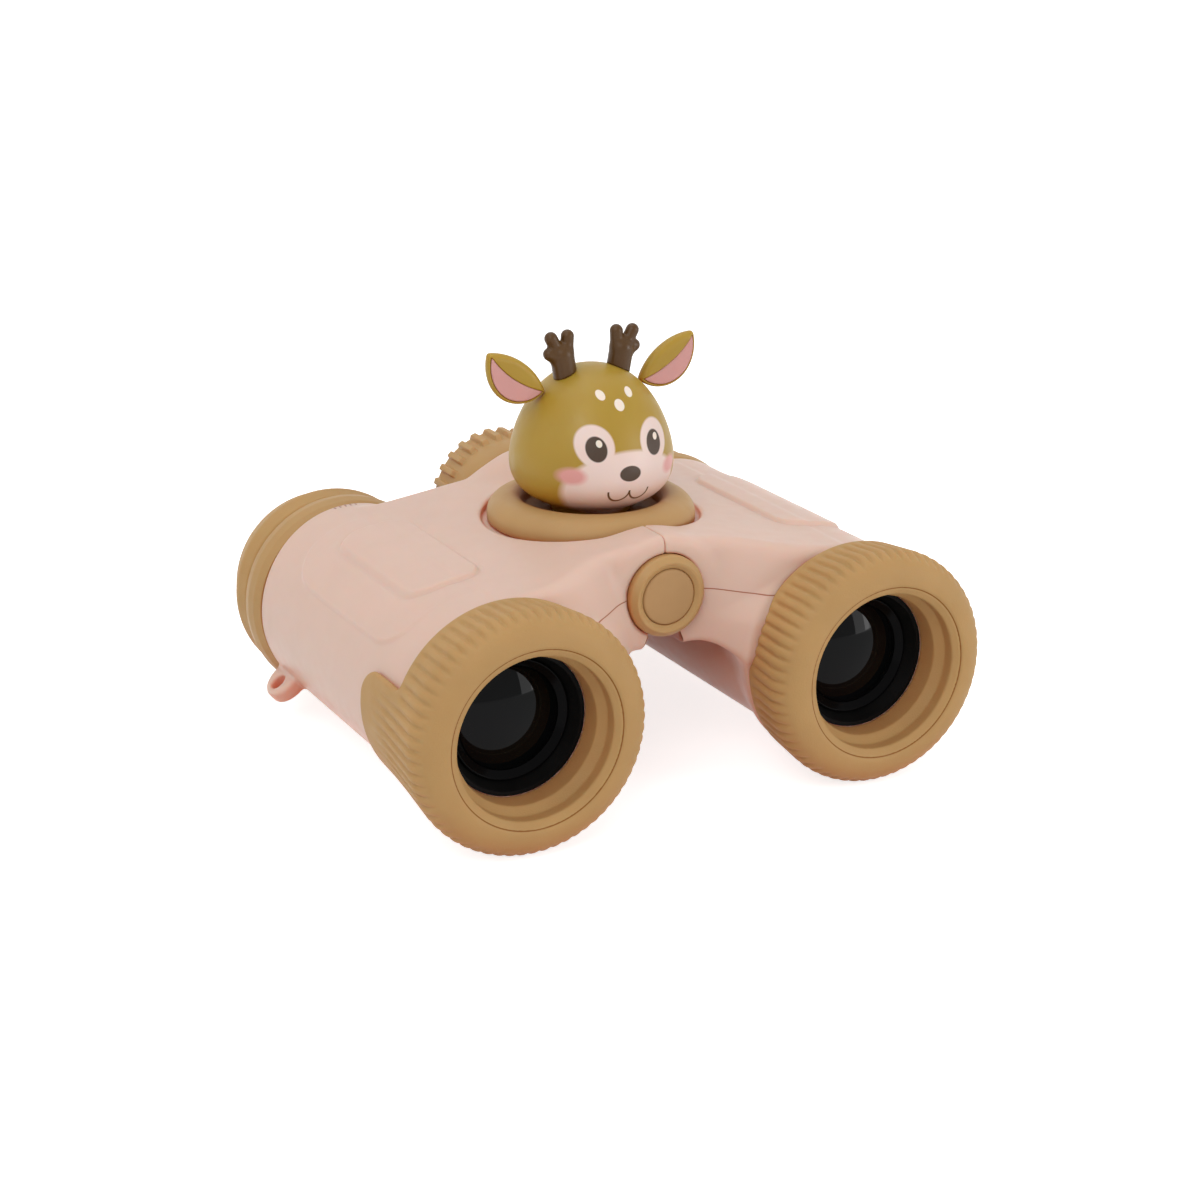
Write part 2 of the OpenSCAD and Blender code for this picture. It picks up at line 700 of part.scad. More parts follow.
// Collar behind the barrel: the dioptre ring on the right, a plain one on the left
module collar() color(TAN) {
  inside = tube_r + part_gap;
  bulge_y = collar_front + collar_round_share * collar_l;
  turned(concat([[inside, collar_front], [collar_front_r, collar_front]],
    arc(collar_front_r, bulge_y, collar_front_inset, bulge_y - collar_front, -collar_front_angle, 0),
    arc(collar_rear_r, bulge_y, collar_rear_inset, collar_rear - bulge_y, collar_rear_angle, 90),
    [[inside, collar_rear]]));
}

// Soft eyecup with a flared hollow
module eyecup() color(TAN) {
  inside = tube_r + part_gap;
  front = collar_rear + part_gap;
  turned(concat([[inside, front], [eyecup_base_r, front]],
    arc(eyecup_rim_r - rim_round, overall_l - rim_round, rim_round, rim_round, 0, 90),
    [[eyecup_mouth_r, overall_l], [inside, tube_rear]]));
}

module hinge_axle() color(STEEL) rod(0, hinge_rise, axle_r, disc_rear, cage_front + cage_wall);

module hinge_sleeve() color(DARK) difference() {
  rod(0, hinge_rise, sleeve_r, bridge_front - side_gap, knuckle_front - side_gap / 2);
  rod(0, hinge_rise, axle_r + part_gap, bridge_front - over, knuckle_front + over);
  table_relief();
}

// Room that the sleeve and the cage leave under the turntable
module table_relief() translate([0, post_y, well_floor]) cylinder(r = table_r + side_gap, h = far_off);

// Cap ring on the front end of the hinge, with a round edge and a recess for its disc
module cap_ring() color(TAN) translate([0, 0, hinge_rise]) rotate([-90, 0, 0]) rotate_extrude()
  polygon(concat([[axle_r + part_gap, disc_rear], [axle_r + part_gap, bridge_front - side_gap],
    [cap_r, bridge_front - side_gap]],
    arc(cap_r - cap_t / 2, cap_front + cap_t / 2, cap_t / 2, cap_t / 2, 0, -90),
    [[disc_r + part_gap, disc_front], [disc_r + part_gap, disc_rear]]));

module cap_disc() color(TAN) rod(0, hinge_rise, disc_r, disc_front, disc_rear - part_gap);

// Post on the axle that carries the turntable, with a side slot for the clip
module turntable_post() color(DARK) difference() {
  union() {
    rod(0, hinge_rise, knuckle_r, post_y - hub_l / 2, post_y + hub_l / 2);
    translate([-post_w / 2, post_y - hub_l / 2, hinge_rise]) cube([post_w, hub_l, post_top - hinge_rise]);
  }
  rod(0, hinge_rise, axle_r + part_gap, post_y - hub_l, post_y + hub_l);
  translate([0, post_y, stub_bottom]) cylinder(r = stub_r + running_gap, h = far_off);
  translate([-clip_r - side_gap, post_y - clip_r - side_gap, clip_z - running_gap])
    cube([far_off, 2 * (clip_r + side_gap), clip_t + 2 * running_gap]);
}

// Cage behind the knuckles that guides the focus nut and bears the focus screw
module focus_cage() color(DARK) {
  inside_r = nut_r + running_gap;
  difference() {
    rod(0, hinge_rise, sleeve_r, cage_front, cage_rear);
    difference() {
      rod(0, hinge_rise, inside_r, cage_front + cage_wall, cage_rear - cage_wall);
      translate([-key_w / 2, cage_front, hinge_rise + inside_r - key_h])
        cube([key_w, cage_l, key_h + over]);
    }
    rod(0, hinge_rise, axle_r + part_gap, cage_front - over, cage_front + 2 * cage_wall);
    rod(0, hinge_rise, screw_r + running_gap, cage_rear - 2 * cage_wall, cage_rear + over);
    for (s = [0, 1]) mirror([s, 0, 0]) cage_window();
    table_relief();
  }
}

// Window that lets a focus arm swing through the fold and slide through the focus travel
module cage_window() {
  reach = 2 * sleeve_r;
  high = window_angle - arm_slope;
  low = -window_angle - arm_slope - fold_max;
  mid = (high + low) / 2;
  translate([0, 0, hinge_rise])
    along_y(nut_y - arm_t / 2 - focus_travel - side_gap, nut_y + arm_t / 2 + focus_travel + side_gap)
      polygon([[0, 0], [reach * cos(low), reach * sin(low)], [reach * cos(mid), reach * sin(mid)],
        [reach * cos(high), reach * sin(high)]]);
}

module focus_screw() color(STEEL)
  rod(0, hinge_rise, screw_r, cage_front + cage_wall + side_gap, wheel_rear - wheel_cap_t - part_gap);

// Focus wheel: a smooth rounded front, then ribs round the rim
module focus_wheel() color(TAN) {
  rim = wheel_r - rib_h;
  hub = screw_r + part_gap;
  recess = wheel_cap_r + part_gap;
  floor_y = wheel_rear - wheel_cap_t;
  rib_w = rib_w_share * 2 * PI * wheel_r / rib_count;
  translate([0, 0, hinge_rise]) rotate([-90, 0, 0]) {
    rotate_extrude() polygon(concat([[hub, wheel_front], [wheel_face_r, wheel_front]],
      arc(wheel_face_r, wheel_front + wheel_nose_l, rim - wheel_face_r, wheel_nose_l,
        -wheel_nose_angle, 0),
      [[rim, wheel_rear - wheel_edge], [rim - wheel_edge, wheel_rear], [recess, wheel_rear],
        [recess, floor_y], [hub, floor_y]]));
    for (i = [0:rib_count - 1]) rotate([0, 0, i * 360 / rib_count])
      translate([rim - wheel_edge, -rib_w / 2, wheel_front + wheel_nose_l])
        cube([rib_h + wheel_edge, rib_w, wheel_w - wheel_nose_l - 2 * wheel_edge]);
  }
}

module wheel_cap() color(TAN)
  rod(0, hinge_rise, wheel_cap_r, wheel_rear - wheel_cap_t + part_gap, wheel_rear);

// Nut that slides in the cage, with a groove for the arms' shoes and a keyway that stops it turning
module focus_nut() color(STEEL) difference() {
  rod(0, hinge_rise, nut_r, nut_y - nut_l / 2, nut_y + nut_l / 2);
  rod(0, hinge_rise, screw_r + running_gap, nut_y - nut_l, nut_y + nut_l);
  difference() {
    rod(0, hinge_rise, nut_r + over, nut_y - groove_w / 2, nut_y + groove_w / 2);
    rod(0, hinge_rise, groove_r, nut_y - groove_w, nut_y + groove_w);
  }
  translate([-key_w / 2 - side_gap, nut_y - nut_l, hinge_rise + nut_r - key_h - side_gap])
    cube([key_w + 2 * side_gap, 2 * nut_l, key_h + side_gap + over]);
}

// Frame of the head and turntable: their upright axis, from the turntable's underside
module on_table() placed() translate([0, post_y, table_base]) children();
module on_head() placed() translate([0, post_y, head_z]) children();

module turntable() color(TAN) on_table() difference() {
  union() {
    rotate_extrude() polygon(concat([[0, 0], [table_r, 0]],
      arc(crest_r, table_edge_h, table_r - crest_r, crest_h - table_edge_h, 0, 90),
      arc(crest_r, floor_t, crest_r - dish_r, crest_h - floor_t, 90, 180), [[0, floor_t]]));
    difference() {
      translate([0, 0, stub_bottom - table_base])
        cylinder(r = stub_r, h = table_base - stub_bottom + floor_t / 2);
      translate([0, 0, clip_z - table_base - running_gap]) difference() {
        cylinder(r = 2 * stub_r, h = clip_t + 2 * running_gap);
        cylinder(r = stub_groove_r, h = 2 * clip_t);
      }
    }
  }
  for (s = [-1, 1]) translate([s * head_screw_x, 0, 0]) {
    translate([0, 0, -over]) cylinder(r = head_screw_r + part_gap, h = floor_t + 2 * over);
    translate([0, 0, -over]) cylinder(r = head_screw_head_r + part_gap, h = head_screw_head_t + over);
  }
}

// Open ring in the stub's groove
module turntable_clip() color(STEEL) placed() translate([0, post_y, clip_z]) difference() {
  cylinder(r = clip_r, h = clip_t);
  translate([0, 0, -over]) cylinder(r = stub_groove_r + part_gap, h = clip_t + 2 * over);
  translate([-clip_r - over, -stub_groove_r - part_gap, -over])
    cube([clip_r + over, 2 * (stub_groove_r + part_gap), clip_t + 2 * over]);
}

module head_screws() color(STEEL) on_table() for (s = [-1, 1]) translate([s * head_screw_x, 0, 0]) {
  cylinder(r = head_screw_head_r, h = head_screw_head_t);
  cylinder(r = head_screw_r, h = head_screw_l);
}

// Outline of the head: radius at a height above its flat base, for an egg grown by extra
function head_radius(z, extra) =
  let(mid = head_mid_share * head_h,
    up = head_h + extra - mid, down = mid + head_cut + extra,
    share = z > mid ? (z - mid) / up : (mid - z) / down,
    power = z > mid ? head_top_power : head_low_power)
  (head_r + extra) * pow(max(0, 1 - pow(share, power)), 1 / power);

// Egg of the head, between two heights; heights crowd towards the crown as on a quarter circle
module head_form(extra, bottom) {
  mid = head_mid_share * head_h;
  crown = head_h + extra;
  low = [for (i = [0:head_step_count - 1]) bottom + (mid - bottom) * i / head_step_count];
  high = [for (i = [0:head_step_count]) mid + (crown - mid) * sin(90 * i / head_step_count)];
  heights = concat(low, high);
  rotate_extrude() polygon(concat([[0, bottom]], [for (z = heights) [head_radius(z, extra), z]]));
}

module head_shell() color(OCHRE) on_head() difference() {
  head_form(0, 0);
  head_form(-head_wall, head_wall);
  translate([0, 0, -over]) cylinder(r = plug_r + part_gap, h = head_wall + 2 * over);
}

// Plug in the bottom of the head that takes the two screws
module head_base() color(OCHRE) on_head() difference() {
  cylinder(r = plug_r, h = plug_t);
  for (s = [-1, 1]) translate([s * head_screw_x, 0, -over])
    cylinder(r = head_screw_r + part_gap, h = head_screw_l - floor_t + over);
}

// Leaf with pointed ends along X, as the overlap of two circles
module leaf(l, w) {
  r = (l * l + w * w) / (4 * w);
  translate([l / 2, 0]) intersection_for(s = [-1, 1]) translate([0, s * (r - w / 2)]) circle(r);
}

// Frame of one ear: X from root to tip, Y across the leaf, Z out of its front face
module on_ears() on_head() for (s = [0, 1]) mirror([s, 0, 0])
  translate([ear_root_shares[0] * head_r, -ear_t / 2, ear_root_shares[1] * head_h])
    rotate([90, 0, 0]) rotate([0, 0, ear_angle]) children();

module lining_leaf(grow) translate([ear_l * (1 - lining_l_share) / 2, -lining_drop_share * ear_w])
  leaf(lining_l_share * ear_l + grow, lining_w_share * ear_w + grow);

module ears() color(OCHRE) difference() {
  on_ears() difference() {
    translate([0, 0, -ear_t]) linear_extrude(height = ear_t) leaf(ear_l, ear_w);
    translate([0, 0, -lining_t - part_gap])
      linear_extrude(height = lining_t + over) lining_leaf(2 * part_gap);
  }
  on_head() head_form(part_gap, 0);
}

module ear_linings() color(ROSE) difference() {
  on_ears() translate([0, 0, -lining_t]) linear_extrude(height = lining_t) lining_leaf(0);
  on_head() head_form(part_gap, 0);
}

// Round limb between two points [x, z]
module limb(a, b, r) {
  run = b - a;
  translate([a[0], 0, a[1]]) sphere(r);
  translate([b[0], 0, b[1]]) sphere(r);
  translate([a[0], 0, a[1]]) rotate([0, atan2(run[0], run[1]), 0]) cylinder(r = r, h = norm(run));
}

module antlers() color(BROWN) difference() {
  on_head() for (s = [0, 1], a = antler_shares) mirror([s, 0, 0])
    translate([antler_root_shares[0] * head_r, 0, antler_root_shares[1] * head_h])
      limb(antler_h * [a[0], a[1]], antler_h * [a[2], a[3]], antler_r * a[4], $fn = 32);
  on_head() head_form(part_gap, 0);
}

on_right() upper_shell();  // right_upper_shell
on_right() lower_shell(right_knuckles);  // right_lower_shell
on_right() shell_screws();  // right_shell_screws
on_right() objective_ring();  // right_objective_ring
on_right() objective_cell();  // right_objective_cell
on_right() objective_lens();  // right_objective_lens
on_right() lens_retainer();  // right_lens_retainer
on_right() focus_arm();  // right_focus_arm
on_right() prism_holder();  // right_prism_holder
on_right() prisms();  // right_prisms
on_right() eyepiece_tube();  // right_eyepiece_tube
on_right() field_lens();  // right_field_lens
on_right() eye_lens();  // right_eye_lens
on_right() collar();  // right_dioptre_collar
on_right() eyecup();  // right_eyecup
on_left() upper_shell();  // left_upper_shell
on_left() lower_shell(left_knuckles);  // left_lower_shell
on_left() shell_screws();  // left_shell_screws
on_left() objective_ring();  // left_objective_ring
on_left() objective_cell();  // left_objective_cell
on_left() objective_lens();  // left_objective_lens
on_left() lens_retainer();  // left_lens_retainer
on_left() focus_arm();  // left_focus_arm
on_left() prism_holder();  // left_prism_holder
on_left() prisms();  // left_prisms
on_left() eyepiece_tube();  // left_eyepiece_tube
on_left() field_lens();  // left_field_lens
on_left() eye_lens();  // left_eye_lens
on_left() collar();  // left_collar
on_left() eyecup();  // left_eyecup
placed() hinge_axle();
placed() hinge_sleeve();
placed() cap_ring();
placed() cap_disc();
placed() turntable_post();
placed() focus_cage();
placed() focus_screw();
placed() focus_wheel();
placed() wheel_cap();
placed() focus_nut();
turntable();
turntable_clip();
head_screws();
head_base();
head_shell();
ears();
ear_linings();
antlers();
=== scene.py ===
"""Looks of the toy binoculars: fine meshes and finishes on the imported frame.

Meshes are worked out in millimetres in a working frame: X to the wearer's left, Y back from the
front of the objective rings, Z up from the barrel axes. Layout.placed() moves them to the frame.
A field is a function that is negative inside a solid and about the distance from it outside.
"""

import json
import logging
import math
from dataclasses import dataclass
from enum import Enum
from typing import Any, Callable, Iterable, Optional, Sequence

import bmesh
import bpy
import numpy as np
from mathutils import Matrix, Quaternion, Vector

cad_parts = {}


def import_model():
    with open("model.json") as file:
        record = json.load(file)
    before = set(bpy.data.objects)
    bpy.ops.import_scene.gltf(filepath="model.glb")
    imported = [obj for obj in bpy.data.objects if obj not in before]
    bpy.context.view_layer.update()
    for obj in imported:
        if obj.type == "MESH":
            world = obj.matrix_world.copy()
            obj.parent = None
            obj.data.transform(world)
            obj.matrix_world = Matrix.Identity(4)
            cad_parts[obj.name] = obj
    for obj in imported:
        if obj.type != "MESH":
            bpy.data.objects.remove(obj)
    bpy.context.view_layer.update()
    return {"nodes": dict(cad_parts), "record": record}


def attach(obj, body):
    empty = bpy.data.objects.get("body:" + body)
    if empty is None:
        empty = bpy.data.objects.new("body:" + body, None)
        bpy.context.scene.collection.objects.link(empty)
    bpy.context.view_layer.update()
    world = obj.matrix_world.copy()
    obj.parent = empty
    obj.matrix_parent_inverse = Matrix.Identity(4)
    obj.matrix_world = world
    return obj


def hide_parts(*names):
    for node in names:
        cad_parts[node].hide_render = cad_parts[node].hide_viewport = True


Array = np.ndarray
Field = Callable[[Array], Array]
Relief = Callable[[Array, Array, Array], Array]
Point = tuple[float, float]
Span = tuple[float, float]
Corner = tuple[float, float, float]
Box = tuple[Corner, Corner]
Rgb = tuple[int, int, int]
Faces = list[tuple[int, ...]]
Socket = bpy.types.NodeSocket

LOG = logging.getLogger("binoculars")
MM = 0.001
FAR = 1e9
TINY = 1e-9


class Side(Enum):
    """A half of the binoculars, named for the wearer; the value is the sign of its X."""

    LEFT = 1
    RIGHT = -1

    @property
    def word(self) -> str:
        """Word that the side's nodes and bodies start with."""
        return self.name.lower()

    @property
    def half(self) -> str:
        """Body of the side's barrel and bridge."""
        return f"{self.word}_half"

    def turned(self, points: Array) -> Array:
        """Points of the half at positive X, moved to this side."""
        return points * np.array([self.value, 1.0, 1.0])


@dataclass(frozen=True)
class Layout:
    """Sizes in millimetres that several sub-assemblies share."""

    barrel_x: float = 33.0
    hinge_z: float = 13.5
    front_y: float = 47.5
    base_z: float = 20.8
    length: float = 95.0
    barrel_r: float = 17.7
    ring_l: float = 13.0
    bridge_front: float = 19.5
    bridge_rear: float = 73.4
    body_rear: float = 76.6
    wrap_r: float = 9.6
    core_r: float = 7.9
    post_y: float = 45.55
    table_z: float = 19.9
    head_z: float = 21.8

    def placed(self, points: Array) -> Array:
        """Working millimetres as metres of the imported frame."""
        return (points + np.array([0.0, -self.front_y, self.base_z])) * MM


LAYOUT = Layout()


# Fields and meshes


CELL_CORNERS = tuple((i, j, k) for i in (0, 1) for j in (0, 1) for k in (0, 1))
CELLS_ROUND_EDGE = ((-1, -1), (0, -1), (0, 0), (-1, 0))
GRID_SLICE = 12
SETTLE_PASSES = 3
SETTLE_SHARE = 0.5
SLOPE_SHARE = 0.2
SLOPE_LEAST = 0.05
FILLET_STEPS = 6
FILLET_SIDE_SHARE = 0.45
FILLET_SPARE_SHARE = 0.1
FILLET_TAN_LEAST = 0.01
TURN_STEPS = 192


def ramp(low: float, high: float, value: Any) -> Any:
    """Smooth step from 0 at low to 1 at high."""
    t = np.clip((value - low) / (high - low), 0.0, 1.0)
    return t * t * (3.0 - 2.0 * t)


def join(a: Array, b: Array, soft: Any) -> Array:
    """Union of two fields with a fillet about as wide as soft."""
    lap = np.maximum(soft - np.abs(a - b), 0.0)
    return np.minimum(a, b) - lap * lap / (4.0 * soft)


def meet(a: Array, b: Array, soft: Any) -> Array:
    """Intersection of two fields with a rounded edge about as wide as soft."""
    return -join(-a, -b, soft)


def slab(value: Array, low: float, high: float) -> Array:
    """Field of the space between two parallel planes."""
    return np.maximum(low - value, value - high)


def round_box(u: Array, v: Array, half_u: float, half_v: float, corner: float) -> Array:
    """Field of a flat rectangle with round corners.

    Args:
        u: Places across, from its middle.
        v: Places along, from its middle.
        half_u: Half of its width.
        half_v: Half of its length.
        corner: Radius of its corners.

    Returns:
        Distances.
    """
    qu = np.abs(u) - half_u + corner
    qv = np.abs(v) - half_v + corner
    outside = np.hypot(np.maximum(qu, 0.0), np.maximum(qv, 0.0))
    return outside + np.minimum(np.maximum(qu, qv), 0.0) - corner


def capsule(p: Array, a: Sequence[float], b: Sequence[float], r: float) -> Array:
    """Field of a round limb between two points.

    Args:
        p: Points to measure.
        a: Middle of one end.
        b: Middle of the other end.
        r: Radius.

    Returns:
        Distances.
    """
    start, run = np.array(a), np.array(b) - np.array(a)
    t = np.clip((p - start) @ run / (run @ run), 0.0, 1.0)
    return np.linalg.norm(p - start - t[:, None] * run, axis=1) - r


def slope_of(shape: Field, p: Array, reach: float) -> Array:
    """Gradient of a field, from differences.

    Args:
        shape: Field to measure.
        p: Points to measure at.
        reach: Distance to each side.

    Returns:
        A gradient for each point.
    """
    out = np.empty_like(p)
    for axis in range(3):
        shift = np.zeros(3)
        shift[axis] = reach
        out[:, axis] = (shape(p + shift) - shape(p - shift)) / (2.0 * reach)
    return out


def sampled(shape: Field, axes: Sequence[Array]) -> Array:
    """Values of a field on a grid, worked out a few planes at a time.

    Args:
        shape: Field to sample.
        axes: Places of the grid's planes along X, Y and Z.

    Returns:
        Values by the numbers of their planes.
    """
    values = np.empty([len(a) for a in axes])
    for i in range(0, len(axes[0]), GRID_SLICE):
        grid = np.meshgrid(axes[0][i:i + GRID_SLICE], axes[1], axes[2], indexing="ij")
        points = np.stack(grid, axis=-1).reshape(-1, 3)
        values[i:i + GRID_SLICE] = shape(points).reshape(grid[0].shape)
    return values


def crossed_cells(values: Array) -> tuple[Array, Array]:
    """Cells that the zero surface crosses, and the mean of its crossings of each one's edges.

    Args:
        values: Values on the grid.

    Returns:
        Numbers of the cells, and places in units of a cell.
    """
    inside = values < 0.0
    nx, ny, nz = np.array(values.shape) - 1
    count = sum(inside[i:i + nx, j:j + ny, k:k + nz].astype(int) for i, j, k in CELL_CORNERS)
    places = np.argwhere((count > 0) & (count < len(CELL_CORNERS)))
    total = np.zeros((len(places), 3))
    hits = np.zeros(len(places))
    edges = [(corner, axis) for corner in CELL_CORNERS for axis in range(3) if corner[axis] == 0]
    for corner, axis in edges:
        other = list(corner)
        other[axis] = 1
        a = values[tuple((places + corner).T)]
        b = values[tuple((places + other).T)]
        cross = (a < 0.0) != (b < 0.0)
        spot = np.repeat(np.array([corner], float), len(places), axis=0)
        spot[:, axis] += np.where(cross, a / np.where(cross, a - b, 1.0), 0.0)
        total += spot * cross[:, None]
        hits += cross
    return places, places + total / hits[:, None]


def stitched(values: Array, places: Array) -> Array:
    """Quads round the grid edges that the zero surface crosses.

    Args:
        values: Values on the grid.
        places: Numbers of the crossed cells, in the order of their vertices.

    Returns:
        Quads as vertex numbers.
    """
    inside = values < 0.0
    cells = np.array(values.shape) - 1
    index = np.full(cells, -1)
    index[tuple(places.T)] = np.arange(len(places))
    quads = []
    for axis in range(3):
        u, v = (axis + 1) % 3, (axis + 2) % 3
        near, far = [slice(None)] * 3, [slice(None)] * 3
        near[axis] = slice(0, -1)
        far[axis] = slice(1, None)
        edges = np.argwhere(inside[tuple(near)] != inside[tuple(far)])
        edges = edges[(edges[:, u] > 0) & (edges[:, v] > 0)
                      & (edges[:, u] < cells[u]) & (edges[:, v] < cells[v])]
        ring = []
        for du, dv in CELLS_ROUND_EDGE:
            cell = edges.copy()
            cell[:, u] += du
            cell[:, v] += dv
            ring.append(index[tuple(cell.T)])
        quad = np.stack(ring, axis=1)
        outward = ~inside[tuple(edges.T)]
        quad[outward] = quad[outward][:, ::-1]
        quads.append(quad)
    return np.concatenate(quads)


def skin(shape: Field, low: Sequence[float], high: Sequence[float], step: float) -> tuple[Array, Array]:
    """Quad mesh of a field's zero surface.

    Args:
        shape: Field that is negative inside the solid.
        low: Lowest corner of the box that holds the solid.
        high: Highest corner of that box.
        step: Edge of a cell.

    Returns:
        Vertices, settled on the surface, and quads.
    """
    values = sampled(shape, [np.arange(a, b + step, step) for a, b in zip(low, high)])
    places, spots = crossed_cells(values)
    verts = np.array(low) + step * spots
    for _ in range(SETTLE_PASSES):
        slope = slope_of(shape, verts, SLOPE_SHARE * step)
        size = np.maximum((slope * slope).sum(axis=1), SLOPE_LEAST)
        move = slope * (shape(verts) / size)[:, None]
        verts = verts - np.clip(move, -SETTLE_SHARE * step, SETTLE_SHARE * step)
    return verts, stitched(values, places)


def filleted(corners: Sequence[Corner]) -> list[Point]:
    """Closed profile with its corners rounded.

    Args:
        corners: Corners as (radius, y, fillet radius).

    Returns:
        Profile points, with a spare point beside each fillet that keeps flat stretches flat.
    """
    out: list[Point] = []
    for i, (r, y, fillet) in enumerate(corners):
        if fillet == 0.0:
            out.append((r, y))
            continue
        here = np.array([r, y])
        back = np.array(corners[i - 1][:2]) - here
        ahead = np.array(corners[(i + 1) % len(corners)][:2]) - here
        back_l, ahead_l = np.linalg.norm(back), np.linalg.norm(ahead)
        back, ahead = back / back_l, ahead / ahead_l
        half = math.acos(float(np.clip(back @ ahead, -1.0, 1.0))) / 2.0
        room = FILLET_SIDE_SHARE * min(back_l, ahead_l)
        cut = min(fillet / max(math.tan(half), FILLET_TAN_LEAST), room)
        start, end = here + back * cut, here + ahead * cut
        out.append(tuple(start + back * FILLET_SPARE_SHARE * cut))
        for t in np.linspace(0.0, 1.0, FILLET_STEPS + 1):
            out.append(tuple((1 - t) ** 2 * start + 2 * t * (1 - t) * here + t * t * end))
        out.append(tuple(end + ahead * FILLET_SPARE_SHARE * cut))
    return out


def arc(middle: Point, reach: Point, turn: Span, steps: int) -> list[Point]:
    """Points of a part of an ellipse.

    Args:
        middle: Radius and y of its middle.
        reach: Half widths along the radius and along y.
        turn: First and last angle in degrees.
        steps: Steps between them.

    Returns:
        Points (radius, y).
    """
    angles = np.radians(np.linspace(*turn, steps + 1))
    return [(middle[0] + reach[0] * math.cos(a), middle[1] + reach[1] * math.sin(a)) for a in angles]


def lathe(profile: Sequence[Point], segments: int, relief: Optional[Relief] = None) -> tuple[Array, Faces]:
    """Mesh of a profile turned about the Y axis.

    Args:
        profile: Points (radius, y). Ends on the axis become poles; a profile clear of the axis closes.
        segments: Steps round the turn.
        relief: Changes radii from radius, y and turning angle.

    Returns:
        Vertices about the origin and faces.
    """
    ring = np.array(profile)
    poles = [i for i in (0, len(ring) - 1) if ring[i, 0] == 0.0]
    body = np.array([p for i, p in enumerate(ring) if i not in poles])
    angle = np.arange(segments) * 2.0 * math.pi / segments
    r = np.repeat(body[:, :1], segments, axis=1)
    y = np.repeat(body[:, 1:], segments, axis=1)
    if relief:
        r = relief(r, y, np.broadcast_to(angle, r.shape))
    verts = np.stack([r * np.cos(angle), y, r * np.sin(angle)], axis=-1).reshape(-1, 3)
    rows = len(body)
    faces: Faces = []
    for i in range(rows - 1 if poles else rows):
        a, b = i * segments, (i + 1) % rows * segments
        for j in range(segments):
            k = (j + 1) % segments
            faces.append((a + j, a + k, b + k, b + j))
    for i in poles:
        row = 0 if i == 0 else (rows - 1) * segments
        verts = np.vstack([verts, [0.0, ring[i, 1], 0.0]])
        tip = len(verts) - 1
        for j in range(segments):
            k = (j + 1) % segments
            faces.append((tip, row + k, row + j) if i == 0 else (tip, row + j, row + k))
    return verts, faces


def mesh_piece(name: str, verts: Array, faces: Iterable[Sequence[int]]) -> bpy.types.Object:
    """Smooth object from working millimetres, with its faces turned outwards.

    Args:
        name: Name of the piece.
        verts: Vertices in the working frame.
        faces: Faces as vertex numbers.

    Returns:
        The new object, linked to the scene.
    """
    rows = [tuple(int(i) for i in f) for f in faces]
    mesh = bpy.data.meshes.new(name)
    mesh.from_pydata(LAYOUT.placed(np.asarray(verts, float)).tolist(), [], rows)
    mesh.validate()
    measure = bmesh.new()
    measure.from_mesh(mesh)
    if measure.calc_volume(signed=True) < 0.0:
        mesh.flip_normals()
    measure.free()
    mesh.polygons.foreach_set("use_smooth", [True] * len(mesh.polygons))
    piece = bpy.data.objects.new(name, mesh)
    bpy.context.collection.objects.link(piece)
    return piece


# Finishes


SRGB_TOP = 255.0
SRGB_KNEE = 0.04045
SRGB_SLOPE = 12.92
SRGB_LIFT = 0.055
SRGB_POWER = 2.4
MIX_INPUTS = (0, 6, 7)
MIX_OUTPUT = 2
NOISE_BAND = (0.3, 0.7)
GLOSS_MM = 2.5
FINE_DETAIL = 4.0
WAVE_DETAIL = 2.0
WAVE_WIDTH_SHARE = 6.0
WAVE_DEPTH_SHARE = 0.6
LINE_CORE_SHARE = 0.4
SOFT_REACH = (1.0, 0.4, 0.25)
# Painted shade: reach, occlusion band, samples and tint of the deeper colour painted into corners.
SHADE_REACH = 40.0
SHADE_BAND = (0.1, 0.62)
SHADE_SAMPLES = 8
SHADE_TINT = (1.1, 0.5, 0.33)


def linear(colour: Sequence[float]) -> tuple[float, float, float, float]:
    """Linear colour with alpha.

    Args:
        colour: Colour in 8-bit sRGB.

    Returns:
        Red, green, blue and alpha.
    """
    parts = []
    for value in colour:
        c = value / SRGB_TOP
        curved = ((c + SRGB_LIFT) / (1.0 + SRGB_LIFT)) ** SRGB_POWER
        parts.append(c / SRGB_SLOPE if c <= SRGB_KNEE else curved)
    return (parts[0], parts[1], parts[2], 1.0)


